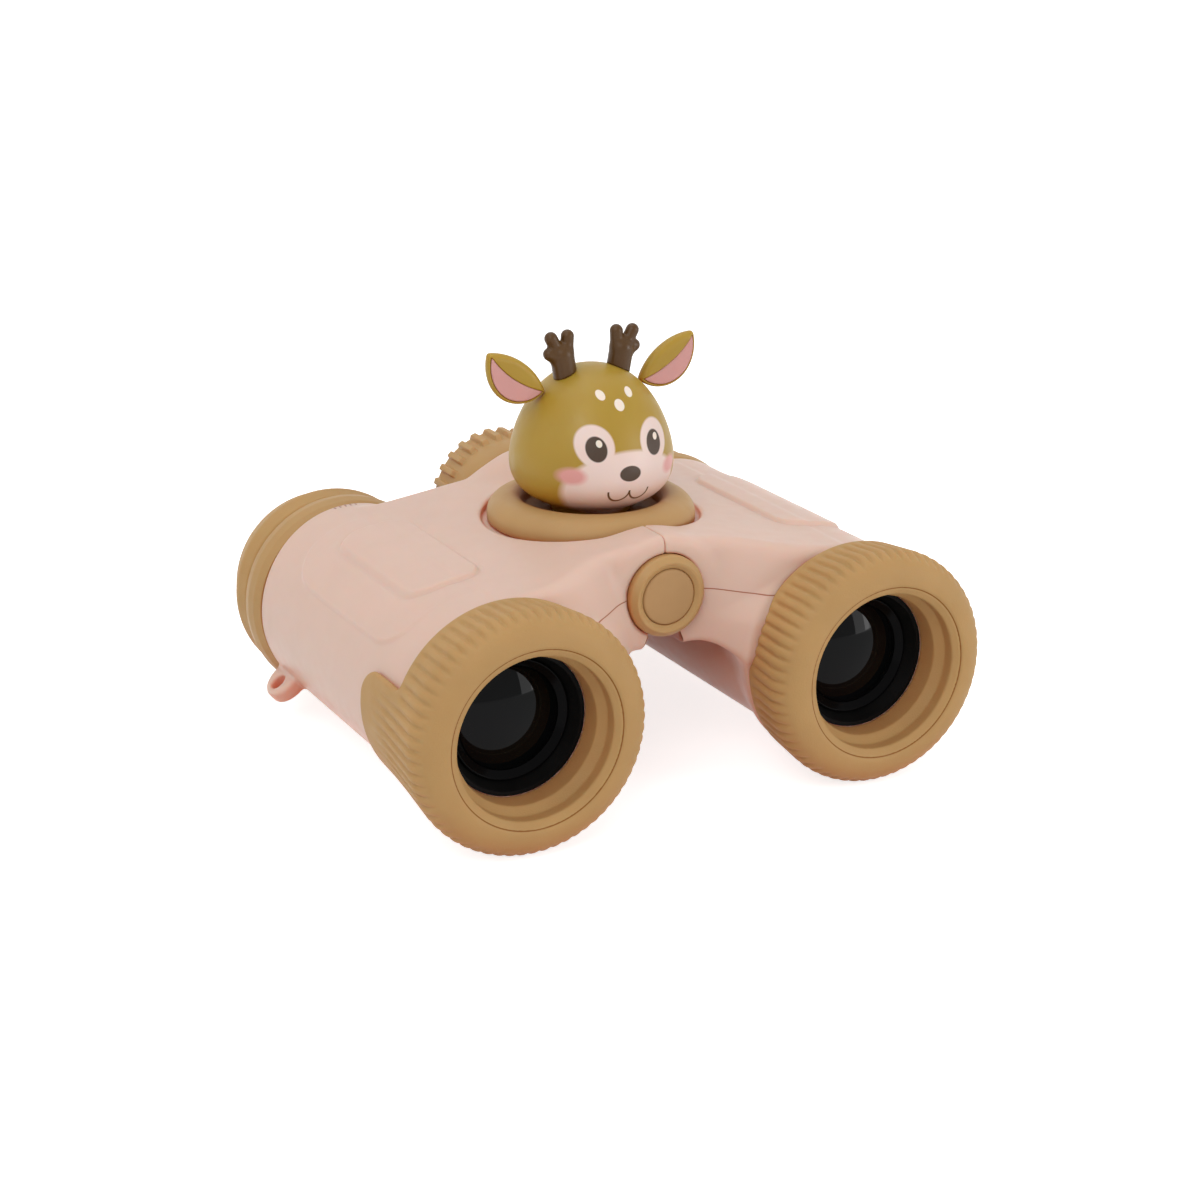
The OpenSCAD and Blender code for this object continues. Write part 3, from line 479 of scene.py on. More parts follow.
class Graph:
    """A material's node tree, with short ways to add and join nodes."""

    def __init__(self, name: str) -> None:
        """Starts a material with one principled shader.

        Args:
            name: Name of the material.
        """
        self.material = bpy.data.materials.new(name)
        self.material.use_nodes = True
        self.nodes = self.material.node_tree.nodes
        self.links = self.material.node_tree.links
        self.shader = self.nodes["Principled BSDF"]
        self.place = self.nodes.new("ShaderNodeTexCoord").outputs["Object"]

    def feed(self, socket: Socket, value: Any) -> None:
        """Gives an input its value.

        Args:
            socket: The input.
            value: A socket to link to it, or a value to set.
        """
        if isinstance(value, bpy.types.NodeSocket):
            self.links.new(value, socket)
        else:
            socket.default_value = value

    def add(self, kind: str, inputs: dict[Any, Any], **settings: Any) -> bpy.types.Node:
        """Adds a node.

        Args:
            kind: Blender's name of the node type.
            inputs: Values or sockets for its inputs, by name or number.
            **settings: Properties of the node.

        Returns:
            The node.
        """
        node = self.nodes.new(kind)
        for key, value in settings.items():
            setattr(node, key, value)
        for key, value in inputs.items():
            self.feed(node.inputs[key], value)
        return node

    def math(self, operation: str, *values: Any) -> Socket:
        """Output of a math node on values or sockets."""
        return self.add("ShaderNodeMath", dict(enumerate(values)), operation=operation).outputs[0]

    def all_of(self, first: Socket, *others: Socket) -> Socket:
        """Product of shares: 1 only where all of them are 1.

        Args:
            first: A share.
            *others: The other shares.

        Returns:
            Their product.
        """
        for other in others:
            first = self.math("MULTIPLY", first, other)
        return first

    def reach(self, u: Socket, v: Socket) -> Socket:
        """Length of a flat vector."""
        return self.math("SQRT", self.math("ADD", self.math("MULTIPLY", u, u), self.math("MULTIPLY", v, v)))

    def working_place(self) -> tuple[Socket, Socket, Socket]:
        """Shaded place in working millimetres.

        Returns:
            Its X, Y and Z.
        """
        inputs = {0: self.place, 1: (1.0 / MM,) * 3, 2: (0.0, LAYOUT.front_y, -LAYOUT.base_z)}
        moved = self.add("ShaderNodeVectorMath", inputs, operation="MULTIPLY_ADD").outputs[0]
        axes = self.add("ShaderNodeSeparateXYZ", {"Vector": moved}).outputs
        return axes[0], axes[1], axes[2]

    def noise(self, size: float, detail: float = 3.0) -> Socket:
        """Value of a noise whose features are about size millimetres wide."""
        inputs = {"Vector": self.place, "Scale": 1.0 / (size * MM), "Detail": detail}
        return self.add("ShaderNodeTexNoise", inputs).outputs["Fac"]

    def span(self, value: Socket, band: Span, out: Span) -> Socket:
        """Value mapped from a band to another and held inside it.

        Args:
            value: Value to map.
            band: Low and high end of the band it comes from.
            out: What those ends become.

        Returns:
            The mapped value.
        """
        names = ("From Min", "From Max", "To Min", "To Max")
        inputs = {"Value": value, **dict(zip(names, band + out))}
        return self.add("ShaderNodeMapRange", inputs).outputs["Result"]

    def line(self, off: Socket, width: float, core_share: float = LINE_CORE_SHARE) -> Socket:
        """Share of a painted line: 1 in its core, 0 where off is past its width."""
        return self.span(off, (core_share * width, width), (1.0, 0.0))

    def mix(self, share: Any, a: Any, b: Any) -> Socket:
        """Colour that is a where share is 0 and b where it is 1."""
        inputs = dict(zip(MIX_INPUTS, (share, a, b)))
        return self.add("ShaderNodeMix", inputs, data_type="RGBA").outputs[MIX_OUTPUT]

    def bump(self, height: Socket, depth: float, under: Optional[Socket] = None) -> Socket:
        """Normal of a relief.

        Args:
            height: Height from 0 to 1.
            depth: Millimetres that 1 stands for.
            under: Normal of the relief below it.

        Returns:
            The normal.
        """
        inputs: dict[Any, Any] = {"Height": height, "Distance": depth * MM, "Strength": 1.0}
        if under:
            inputs["Normal"] = under
        return self.add("ShaderNodeBump", inputs).outputs["Normal"]

    def set(self, name: str, value: Any) -> None:
        """Sets or links an input of the shader."""
        self.feed(self.shader.inputs[name], value)


@dataclass(frozen=True)
class Finish:
    """A moulded or metal surface: colour with faint mottling and, where set, painted shade in corners, a
    grain and worn-in gloss.
    """

    name: str
    slot: str
    colour: Rgb
    roughness: float = 0.45
    gloss_change: float = 0.06
    mottle: float = 0.05
    mottle_mm: float = 9.0
    grain_mm: float = 0.35
    grain_depth: float = 0.012
    metal: float = 0.0
    specular: float = 0.5
    soft: float = 0.0
    soft_mm: float = 2.5
    # Strength of the painted shade that ambient occlusion puts in corners and near the floor.
    painted_shade_share: float = 0.0

    def deepened(self, power: float) -> tuple[float, ...]:
        """Colour of a line in the surface, the darker the higher the power."""
        return tuple(c ** power for c in linear(self.colour)[:3]) + (1.0,)

    def shaded(self, graph: Graph, colour: Any) -> Any:
        """Colour with painted shade: deeper and warmer in corners and near the floor, as if light had bounced
        there often.

        Args:
            graph: Material to add to.
            colour: Colour in the open.

        Returns:
            The changed colour.
        """
        if not self.painted_shade_share:
            return colour
        # Painted shade: occlusion mixes the colour towards a deeper, warmer tint.
        inputs = {"Distance": SHADE_REACH * MM}
        seen = graph.add("ShaderNodeAmbientOcclusion", inputs, samples=SHADE_SAMPLES).outputs["AO"]
        deep = tuple(c * tint for c, tint in zip(linear(self.colour), SHADE_TINT)) + (1.0,)
        return graph.mix(graph.span(seen, SHADE_BAND, (self.painted_shade_share, 0.0)), colour, deep)

    def base(self, graph: Graph) -> Any:
        """Mottled colour of the surface.

        Args:
            graph: Material to add to.

        Returns:
            The colour's socket.
        """
        tone = linear(self.colour)
        dark = tuple(c * (1.0 - self.mottle) for c in tone[:3]) + (1.0,)
        light = tuple(min(1.0, c * (1.0 + self.mottle)) for c in tone[:3]) + (1.0,)
        return graph.mix(graph.span(graph.noise(self.mottle_mm), NOISE_BAND, (0.0, 1.0)), dark, light)

    def relief(self, graph: Graph) -> Socket:
        """Grain over a faint moulding wave.

        Args:
            graph: Material to add to.

        Returns:
            The normal's socket.
        """
        wave = graph.noise(WAVE_WIDTH_SHARE * self.grain_mm, WAVE_DETAIL)
        under = graph.bump(wave, WAVE_DEPTH_SHARE * self.grain_depth)
        return graph.bump(graph.noise(self.grain_mm, FINE_DETAIL), self.grain_depth, under)

    def material(self) -> bpy.types.Material:
        """The finish's material, made at the first call.

        Returns:
            The material.
        """
        name = f"{self.name}_finish"
        made = bpy.data.materials.get(name)
        if made:
            return made
        graph = Graph(name)
        graph.set("Base Color", self.shaded(graph, self.base(graph)))
        gloss = (self.roughness - self.gloss_change, self.roughness + self.gloss_change)
        graph.set("Roughness", graph.span(graph.noise(GLOSS_MM, FINE_DETAIL), NOISE_BAND, gloss))
        graph.set("Normal", self.relief(graph))
        graph.set("Metallic", self.metal)
        graph.set("Specular IOR Level", self.specular)
        graph.set("Subsurface Weight", self.soft)
        graph.set("Subsurface Radius", SOFT_REACH)
        graph.set("Subsurface Scale", self.soft_mm * MM)
        return graph.material

    def paint(self, piece: bpy.types.Object) -> None:
        """Gives a piece this finish alone."""
        piece.data.materials.clear()
        piece.data.materials.append(self.material())

    def dress(self, piece: bpy.types.Object) -> None:
        """Gives a piece this finish."""
        self.paint(piece)


@dataclass(frozen=True)
class ShellFinish(Finish):
    """Pink shell plastic with a parting line on its front wall and painted black shade on the cut faces under
    the hinge.
    """

    seam_z: float = 13.4
    seam_fall: float = 0.085
    seam_w: float = 0.13
    seam_from: float = 9.0
    seam_to: float = 30.0
    seam_back: float = 26.0
    seam_power: float = 3.0
    notch_slope: float = 0.394
    notch_t: float = 0.42
    notch_from: float = 6.0
    under_from: float = 8.6
    under_x: float = 8.5
    under_y: float = 21.5
    # Near-black colour of the painted shade in the notch.
    notch_shade_colour: Rgb = (24, 16, 14)

    def seam(self, graph: Graph) -> Socket:
        """Share of the parting line of the upper and lower shells.

        Args:
            graph: Material to add to.

        Returns:
            1 in the line, 0 off it.
        """
        x, y, z = graph.working_place()
        across = graph.math("ABSOLUTE", x)
        past = graph.math("SUBTRACT", across, self.seam_from)
        height = graph.math("MULTIPLY_ADD", past, -self.seam_fall, self.seam_z)
        near = graph.line(graph.math("ABSOLUTE", graph.math("SUBTRACT", z, height)), self.seam_w)
        front = graph.math("LESS_THAN", y, self.seam_back)
        return graph.all_of(near, front, graph.math("LESS_THAN", across, self.seam_to))

    def notch(self, graph: Graph) -> Socket:
        """Share of the cut faces under the hinge and the underside beside them, painted black as shade.

        Args:
            graph: Material to add to.

        Returns:
            1 on those faces, 0 off them.
        """
        x, y, z = graph.working_place()
        across = graph.math("ABSOLUTE", x)
        below = graph.math("SUBTRACT", LAYOUT.hinge_z, z)
        face = graph.math("MULTIPLY_ADD", below, self.notch_slope, self.notch_t)
        near = graph.math("LESS_THAN", across, face)
        low = graph.math("GREATER_THAN", below, self.notch_from)
        under = graph.math("GREATER_THAN", below, self.under_from)
        middle = graph.math("LESS_THAN", across, self.under_x)
        behind = graph.math("GREATER_THAN", y, self.under_y)
        return graph.math("MAXIMUM", graph.all_of(near, low), graph.all_of(under, middle, behind))

    def base(self, graph: Graph) -> Any:
        """Shell colour, darker in the parting line and painted black as shade in the notch."""
        lined = graph.mix(self.seam(graph), super().base(graph), self.deepened(self.seam_power))
        # Painted shade: the notch and the underside beside it get a near-black colour.
        return graph.mix(self.notch(graph), lined, linear(self.notch_shade_colour))


@dataclass(frozen=True)
class RingFinish(Finish):
    """Grained rubber with the fine dark line that runs round the mouth of an objective ring."""

    line_r: float = 15.16
    line_w: float = 0.14
    line_depth: float = 2.2
    line_power: float = 1.9

    def base(self, graph: Graph) -> Any:
        """Rubber colour, darker in the line.

        Args:
            graph: Material to add to.

        Returns:
            The colour's socket.
        """
        x, y, z = graph.working_place()
        across = graph.math("SUBTRACT", graph.math("ABSOLUTE", x), LAYOUT.barrel_x)
        off = graph.math("ABSOLUTE", graph.math("SUBTRACT", graph.reach(across, z), self.line_r))
        front = graph.math("LESS_THAN", y, self.line_depth)
        share = graph.all_of(graph.line(off, self.line_w), front)
        return graph.mix(share, super().base(graph), self.deepened(self.line_power))


@dataclass(frozen=True)
class Patch:
    """An oval of paint on the front of the head, in millimetres from its axis and its base."""

    x: float
    z: float
    half_w: float
    half_h: float
    colour: Rgb
    soft: float = 0.05
    shift: float = 0.0

    def both(self) -> tuple["Patch", "Patch"]:
        """The oval on each side of the face, moved across by its shift.

        Returns:
            The oval at negative X and the one at positive X.
        """
        right, left = self.shift - self.x, self.shift + self.x
        rest = (self.z, self.half_w, self.half_h, self.colour, self.soft)
        return Patch(right, *rest), Patch(left, *rest)


FACE_PALE = (236, 212, 203)
FACE_DARK = (70, 50, 34)
FACE_ROSE = (222, 160, 154)
FACE_CREAM = (243, 228, 214)
FACE_PATCHES = (
    Patch(0.0, 7.0, 10.6, 6.4, FACE_PALE),
    *Patch(5.6, 14.4, 3.1, 3.5, FACE_PALE).both(),
    *Patch(9.4, 9.4, 1.9, 1.4, FACE_ROSE, 0.3).both(),
    *Patch(5.5, 14.0, 1.7, 2.1, FACE_DARK).both(),
    *Patch(5.5, 14.9, 0.5, 0.6, FACE_CREAM, shift=0.5).both(),
    Patch(0.0, 9.6, 2.0, 1.35, FACE_DARK),
    Patch(0.0, 20.6, 0.9, 0.9, FACE_CREAM),
    *Patch(2.7, 22.2, 0.75, 0.75, FACE_CREAM).both(),
)


@dataclass(frozen=True)
class FaceFinish(Finish):
    """Ochre plastic of the head with a simple fawn's face printed on its front."""

    smile_z: float = 6.6
    smile_r: float = 1.9
    smile_w: float = 0.22
    smile_core_share: float = 0.5

    def base(self, graph: Graph) -> Any:
        """Ochre under the printed patches and the mouth.

        Args:
            graph: Material to add to.

        Returns:
            The colour's socket.
        """
        x, y, up = graph.working_place()
        z = graph.math("SUBTRACT", up, LAYOUT.head_z)
        front = graph.math("LESS_THAN", y, LAYOUT.post_y)
        colour = super().base(graph)
        for patch in FACE_PATCHES:
            u = graph.math("DIVIDE", graph.math("SUBTRACT", x, patch.x), patch.half_w)
            v = graph.math("DIVIDE", graph.math("SUBTRACT", z, patch.z), patch.half_h)
            cover = graph.span(graph.reach(u, v), (1.0 - patch.soft, 1.0 + patch.soft), (1.0, 0.0))
            colour = graph.mix(graph.all_of(cover, front), colour, linear(patch.colour))
        for side in Side:
            u = graph.math("SUBTRACT", x, side.value * self.smile_r)
            v = graph.math("SUBTRACT", z, self.smile_z)
            off = graph.math("ABSOLUTE", graph.math("SUBTRACT", graph.reach(u, v), self.smile_r))
            line = graph.line(off, self.smile_w, self.smile_core_share)
            low = graph.math("LESS_THAN", v, 0.0)
            colour = graph.mix(graph.all_of(line, low, front), colour, linear(FACE_DARK))
        return colour


@dataclass(frozen=True)
class GlassFinish(Finish):
    """Coated lens glass: a dark, clean surface with a faint drift of tint."""

    tint: Rgb = (9, 8, 11)
    tint_mm: float = 14.0
    tint_detail: float = 1.0
    tint_band: Span = (0.35, 0.65)

    def base(self, graph: Graph) -> Any:
        """Dark glass with a soft tint."""
        share = graph.span(graph.noise(self.tint_mm, self.tint_detail), self.tint_band, (0.0, 1.0))
        return graph.mix(share, linear(self.colour), linear(self.tint))


SHELL = ShellFinish("pink_shell", "pink_shell", (222, 190, 174), roughness=0.36, mottle=0.015, grain_mm=0.3,
                    grain_depth=0.003, specular=0.12, painted_shade_share=0.85, soft=0.5, soft_mm=3.0)
SHELL_INNER = Finish("pink_inner", "pink_shell", (210, 178, 163), roughness=0.5, mottle=0.03, specular=0.3)
TICK = Finish("pink_tick", "pink_shell", (190, 146, 130), roughness=0.5, mottle=0.03, specular=0.3)
RUBBER = Finish("tan_rubber", "tan_rubber", (184, 145, 93), roughness=0.6, mottle=0.04, grain_mm=0.3,
                grain_depth=0.03, specular=0.25, painted_shade_share=0.5, soft=0.3, soft_mm=1.5)
RING = RingFinish("ring_rubber", "tan_rubber", (184, 145, 93), roughness=0.6, mottle=0.04, grain_mm=0.28,
                  grain_depth=0.045, specular=0.25, painted_shade_share=0.5, soft=0.3, soft_mm=1.5)
TAN = Finish("tan_plastic", "tan_plastic", (185, 147, 96), roughness=0.5, mottle=0.03, grain_mm=0.3,
             grain_depth=0.008, specular=0.3, painted_shade_share=0.5, soft=0.3, soft_mm=1.5)
CAP_GRAIN = Finish("cap_grain", "tan_plastic", (180, 141, 96), roughness=0.58, grain_mm=0.26,
                   grain_depth=0.035, specular=0.25)
DARK = Finish("black_plastic", "black_plastic", (9, 9, 9), roughness=0.5, mottle=0.2, grain_mm=0.4,
              grain_depth=0.01, specular=0.1)
GLOSS = Finish("black_gloss", "black_plastic", (9, 9, 10), roughness=0.14, gloss_change=0.03, mottle=0.1,
               grain_depth=0.001, specular=0.035)
GLASS = GlassFinish("lens_glass", "lens_glass", (5, 7, 7), roughness=0.03, gloss_change=0.01,
                    grain_depth=0.0003, specular=0.1)
STEEL = Finish("steel", "steel", (186, 187, 190), roughness=0.3, metal=1.0, grain_mm=0.2, grain_depth=0.006)
BRASS = Finish("brass", "brass", (190, 160, 98), roughness=0.34, metal=1.0, grain_mm=0.2, grain_depth=0.006)
OCHRE = Finish("ochre_plastic", "ochre_plastic", (173, 140, 46), roughness=0.45, mottle=0.04,
               grain_depth=0.004, specular=0.35, painted_shade_share=0.5, soft=0.3)
FACE = FaceFinish("fawn_face", "ochre_plastic", (173, 140, 46), roughness=0.42, mottle=0.03,
                  grain_depth=0.003, specular=0.4, painted_shade_share=0.5, soft=0.4)
ROSE = Finish("rose_plastic", "rose_plastic", (219, 157, 152), roughness=0.5, mottle=0.03,
              grain_depth=0.006, specular=0.3, soft=0.3)
BROWN = Finish("brown_plastic", "brown_plastic", (81, 53, 19), roughness=0.36, mottle=0.08,
               grain_depth=0.006, specular=0.3)
PLAIN_FINISHES = (DARK, GLASS, STEEL, BRASS, TAN, RUBBER, SHELL_INNER, OCHRE, ROSE, BROWN)
FINISH_OF_SLOT = {finish.slot: finish for finish in PLAIN_FINISHES}


# Sub-assemblies


@dataclass
class Piece:
    """A finished piece: its object, the body it rides on and the nodes it stands for."""

    item: bpy.types.Object
    body: str
    nodes: tuple[str, ...]

    def settle(self, finish: Finish) -> bpy.types.Object:
        """Dresses the piece, puts it on its body and hides the nodes it stands for.

        Args:
            finish: Finish of the piece.

        Returns:
            Its object.
        """
        finish.dress(self.item)
        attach(self.item, self.body)
        if self.nodes:
            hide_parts(*self.nodes)
        LOG.info("%s: %d faces on %s", self.item.name, len(self.item.data.polygons), self.body)
        return self.item


@dataclass
class Turned:
    """A turned piece on a barrel axis or on the hinge."""

    name: str
    body: str
    nodes: tuple[str, ...]
    axis_x: float
    axis_z: float
    segments: int = TURN_STEPS

    def build(self, profile: Sequence[Point], finish: Finish, relief: Optional[Relief] = None) -> None:
        """Turns the profile, moves it to its axis and dresses it.

        Args:
            profile: Points (radius, y).
            finish: Finish of the piece.
            relief: Changes radii from radius, y and turning angle.
        """
        verts, faces = lathe(profile, self.segments, relief)
        verts = verts + np.array([self.axis_x, 0.0, self.axis_z])
        Piece(mesh_piece(self.name, verts, faces), self.body, self.nodes).settle(finish)


@dataclass
class SettingTicks:
    """Short moulded setting marks at the rear edge of a barrel's top."""

    top_r: float
    side: Side = Side.RIGHT
    count: int = 5
    first_angle: float = 80.0
    pitch: float = 3.1
    half_l: float = 0.45
    middle_half_l: float = 0.62
    half_w: float = 0.16
    levels: Span = (-0.25, 0.03)
    middle_y: float = 75.35
    outline_steps: int = 16
    outline_start: float = 0.1

    def outline(self, half_l: float) -> list[Point]:
        """Outline of a slim bar with round ends.

        Args:
            half_l: Half of its length.

        Returns:
            Places across and along.
        """
        end = self.outline_start + 2.0 * math.pi
        angles = np.linspace(self.outline_start, end, self.outline_steps, endpoint=False)
        straight = half_l - self.half_w
        return [(self.half_w * math.cos(a), math.copysign(straight, math.sin(a)) + self.half_w * math.sin(a))
                for a in angles]

    def build(self) -> None:
        """Makes one object of all the marks, set into the shell."""
        verts: list[list[float]] = []
        faces: Faces = []
        steps = self.outline_steps
        for i in range(self.count):
            angle = math.radians(self.first_angle + self.pitch * i)
            outline = self.outline(self.middle_half_l if i == self.count // 2 else self.half_l)
            first = len(verts)
            for lift in self.levels:
                r = self.top_r + lift
                for across, along in outline:
                    turn = angle - across / self.top_r
                    x = self.side.value * (LAYOUT.barrel_x + r * math.cos(turn))
                    verts.append([x, self.middle_y + along, r * math.sin(turn)])
            faces.append(tuple(first + steps + k for k in range(steps)))
            faces.append(tuple(first + k for k in reversed(range(steps))))
            for k in range(steps):
                a, b = first + k, first + (k + 1) % steps
                faces.append((a, b, b + steps, a + steps))
        Piece(mesh_piece("dioptre_ticks", np.array(verts), faces), self.side.half, ()).settle(TICK)


@dataclass
class Knuckles:
    """Hinge knuckles, two to a half in turn, each with the web that ties it to its half."""

    seam: float
    fold_angle: float
    radius: float = 5.8
    axle_r: float = 3.05
    front: float = 28.0
    length: float = 6.725
    slot_l: float = 7.025
    post_l: float = 7.0
    gap: float = 0.15
    end_round: float = 0.5
    web_over: float = 0.6
    web_drop: float = 4.6
    web_soft: float = 0.6
    step: float = 0.4
    margin: float = 0.8
    box_x: Span = (-6.6, 9.4)
    box_z: Span = (6.8, 20.2)

    def field(self, start: float) -> Field:
        """Field of a knuckle for the half at positive X.

        Args:
            start: Front of the knuckle.

        Returns:
            The field.
        """
        def shape(p: Array) -> Array:
            """Round knuckle, web and axle hole.

            Args:
                p: Points to measure.

            Returns:
                Distances.
            """
            x, y, z = p.T
            hinge = np.hypot(x, z - LAYOUT.hinge_z)
            ends = slab(y, start, start + self.length)
            web = slab(x, 0.0, LAYOUT.core_r + self.web_over)
            web = np.maximum(web, slab(z, LAYOUT.hinge_z - self.web_drop, LAYOUT.hinge_z))
            fold = math.tan(math.radians(self.fold_angle))
            web = np.maximum(web, self.seam + (LAYOUT.hinge_z - z) * fold - x)
            knuckle = meet(hinge - self.radius, ends, self.end_round)
            return np.maximum(join(knuckle, np.maximum(web, ends), self.web_soft), self.axle_r - hinge)
        return shape

    def build(self, side: Side) -> None:
        """Makes the two knuckles of a half.

        Args:
            side: The half.
        """
        first = 0 if side is Side.RIGHT else 1
        for i in (first, first + 2):
            start = self.front + i * self.slot_l + (self.post_l if i > 1 else 0.0) + self.gap
            low = (self.box_x[0], start - self.margin, self.box_z[0])
            high = (self.box_x[1], start + self.length + self.margin, self.box_z[1])
            verts, quads = skin(self.field(start), low, high, self.step)
            item = mesh_piece(f"{side.word}_knuckle_{i}", side.turned(verts), quads)
            Piece(item, side.half, ()).settle(SHELL_INNER)


@dataclass(frozen=True)
class Spots:
    """Points to measure in a half, with their distances from the barrel's axis and the hinge's."""

    x: Array
    y: Array
    z: Array
    barrel: Array
    hinge: Array

    @classmethod
    def of(cls, p: Array) -> "Spots":
        """Spots at the rows of p."""
        x, y, z = p.T
        return cls(x, y, z, np.hypot(x - LAYOUT.barrel_x, z), np.hypot(x, z - LAYOUT.hinge_z))


@dataclass
class HalfShells:
    """The pink shells of both halves: barrel, bridge, hinge wrap, raised plate and strap lug."""

    # Grid of the skin
    step: float = 0.38
    box: Box = ((-0.6, 7.4, -19.2), (57.4, 78.0, 27.2))
    # Barrel, with a raised top and a flare to the ring on its inner side
    end_gap: float = 0.05
    end_round: float = 1.1
    axis_guard: float = 1.0
    top_step: float = 0.8
    top_rise: Span = (10.0, 80.0)
    top_fade: Span = (140.0, 170.0)
    flare: float = 2.1
    flare_turn: Span = (0.25, 0.85)
    flare_y: Span = (13.0, 22.0)
    spigot_r: float = 16.4
    spigot_y: float = 8.5
    # Panel on the barrel's side, and the raised plate with a groove round it
    panel_angle: float = 33.0
    panel_half: Span = (16.0, 22.6)
    panel_corner: float = 8.0
    panel_h: float = 0.42
    panel_edge: float = 0.4
    panel_fade: float = 7.0
    plate_x: float = 35.6
    plate_y: float = 44.5
    plate_w: float = 12.9
    plate_l: float = 33.7
    plate_corner: float = 4.0
    plate_h: float = 0.55
    plate_bevel: float = 0.7
    plate_z: Span = (6.0, 10.0)
    groove_d: float = 0.14
    groove_off: float = 0.55
    groove_w: float = 0.3
    # Bridge, whose front wall sweeps to the ring
    bridge_z: float = 23.1
    bridge_fall: float = 0.1373
    bridge_under: float = 4.4
    sweep: float = 6.3
    sweep_r: Span = (20.0, 30.5)
    crown_round: float = 2.4
    under_round: float = 1.5
    flank_round: float = 1.0
    web_soft: float = 1.2
    web_more: float = 7.5
    web_y: Span = (20.0, 32.0)
    web_z: Span = (8.0, 15.0)
    # Wrap round the hinge, seam, and notch for the fold
    hump_h: float = 2.8
    hump_y: Span = (61.0, 70.5)
    hump_blend: float = 4.0
    wrap_round: float = 1.6
    wrap_soft: float = 2.2
    lip_r: float = 7.2
    lip_y: Span = (20.5, 21.1)
    lip_round: float = 0.35
    seam: float = 0.07
    seam_edge: float = 0.2
    fold_angle: float = 21.5
    notch_round: float = 0.5
    # Round opening for the turntable
    well_r: float = 18.8
    well_wide: float = 1.03
    well_z: float = 19.6
    well_round: float = 0.9
    # Strap lug
    lug_angle: float = 40.0
    lug_y: float = 72.6
    lug_r: float = 18.9
    lug_w: float = 8.0
    lug_t: float = 3.0
    lug_root: float = 17.2
    lug_root_round: float = 0.5
    lug_round: float = 0.9
    lug_soft: float = 0.8
    lug_hole_at: float = 20.1
    lug_hole_r: float = 1.5
    lug_hole_round: float = 0.5
    # Room inside: bore, sight holes, bridge, screw bosses and the focus arm's window
    wall: float = 1.7
    overlap: float = 1.0
    bore_y: Span = (20.0, 71.6)
    sight_r: float = 12.42
    tube_r: float = 12.1
    room_x: float = 26.0
    room_z: Span = (6.1, 17.8)
    boss_x: float = 13.0
    boss_y: Span = (24.6, 62.3)
    boss_r: float = 2.4
    screw_r: float = 1.14
    screw_top: float = 18.0
    screw_head_r: float = 1.95
    screw_head_z: float = 5.62
    arm_fall: float = 16.0
    window_h: float = 2.1
    window_x: Span = (0.0, 13.0)
    window_y: Span = (65.6, 71.2)

    def barrel(self, s: Spots) -> Array:
        """Field of a barrel.

        Args:
            s: Points to measure.

        Returns:
            Distances.
        """
        out = s.x - LAYOUT.barrel_x
        angle = np.degrees(np.arctan2(s.z, out))
        lift = self.top_step * (ramp(*self.top_rise, angle) * (1.0 - ramp(*self.top_fade, angle)))
        arc_l = np.radians(angle - self.panel_angle) * LAYOUT.barrel_r
        panel = round_box(arc_l - self.panel_half[0], s.y - self.plate_y, *self.panel_half, self.panel_corner)
        fade = np.exp(-np.maximum(arc_l, 0.0) / self.panel_fade)
        ledge = self.panel_h * (1.0 - ramp(-self.panel_edge, self.panel_edge, panel)) * fade
        inner = ramp(*self.flare_turn, -out / np.maximum(s.barrel, self.axis_guard))
        flare = self.flare * inner * (1.0 - ramp(*self.flare_y, s.y))
        side = s.barrel - LAYOUT.barrel_r - lift - ledge - flare
        return meet(side, slab(s.y, LAYOUT.ring_l + self.end_gap, LAYOUT.body_rear), self.end_round)

    def bridge(self, s: Spots) -> Array:
        """Field of the bridge.

        Args:
            s: Points to measure.

        Returns:
            Distances.
        """
        top = (s.z - self.bridge_z + self.bridge_fall * s.x) / math.hypot(1.0, self.bridge_fall)
        front = LAYOUT.bridge_front - self.sweep * (1.0 - ramp(*self.sweep_r, s.barrel))
        crown = meet(top, np.maximum(front - s.y, s.y - LAYOUT.bridge_rear), self.crown_round)
        body = meet(crown, self.bridge_under - s.z, self.under_round)
        return meet(body, s.x - LAYOUT.barrel_x, self.flank_round)

    def wrap(self, s: Spots) -> Array:
        """Field of the wrap round the hinge, with the hump before the focus wheel.

        Args:
            s: Points to measure.

        Returns:
            Distances.
        """
        rise = self.hump_h * ramp(*self.hump_y, s.y)
        rise = rise * ramp(-self.hump_blend, self.hump_blend, s.z - LAYOUT.hinge_z)
        ends = slab(s.y, LAYOUT.bridge_front, LAYOUT.bridge_rear)
        return meet(s.hinge - LAYOUT.wrap_r - rise, ends, self.wrap_round)

    def plate(self, s: Spots) -> Array:
        """Height of the raised plate and its groove over the shell.

        Args:
            s: Points to measure.

        Returns:
            Heights.
        """
        half_w, half_l = self.plate_w / 2.0, self.plate_l / 2.0
        pad = round_box(s.x - self.plate_x, s.y - self.plate_y, half_w, half_l, self.plate_corner)
        raised = self.plate_h * np.clip(0.5 - pad / self.plate_bevel, 0.0, 1.0)
        groove = self.groove_d * np.exp(-((pad - self.groove_off) / self.groove_w) ** 2)
        return (raised - groove) * ramp(*self.plate_z, s.z)

    def lug(self, s: Spots) -> Array:
        """Field of the strap lug with its cord hole.

        Args:
            s: Points to measure.

        Returns:
            Distances.
        """
        a = math.radians(-self.lug_angle)
        out = s.x - LAYOUT.barrel_x
        u = out * math.cos(a) + s.z * math.sin(a)
        t = -out * math.sin(a) + s.z * math.cos(a)
        v = s.y - self.lug_y
        tongue = np.hypot(np.maximum(u - self.lug_r, 0.0), v) - self.lug_w / 2.0
        tongue = meet(tongue, self.lug_root - u, self.lug_root_round)
        plate = meet(tongue, np.abs(t) - self.lug_t / 2.0, self.lug_round)
        return meet(plate, self.lug_hole_r - np.hypot(u - self.lug_hole_at, v), self.lug_hole_round)

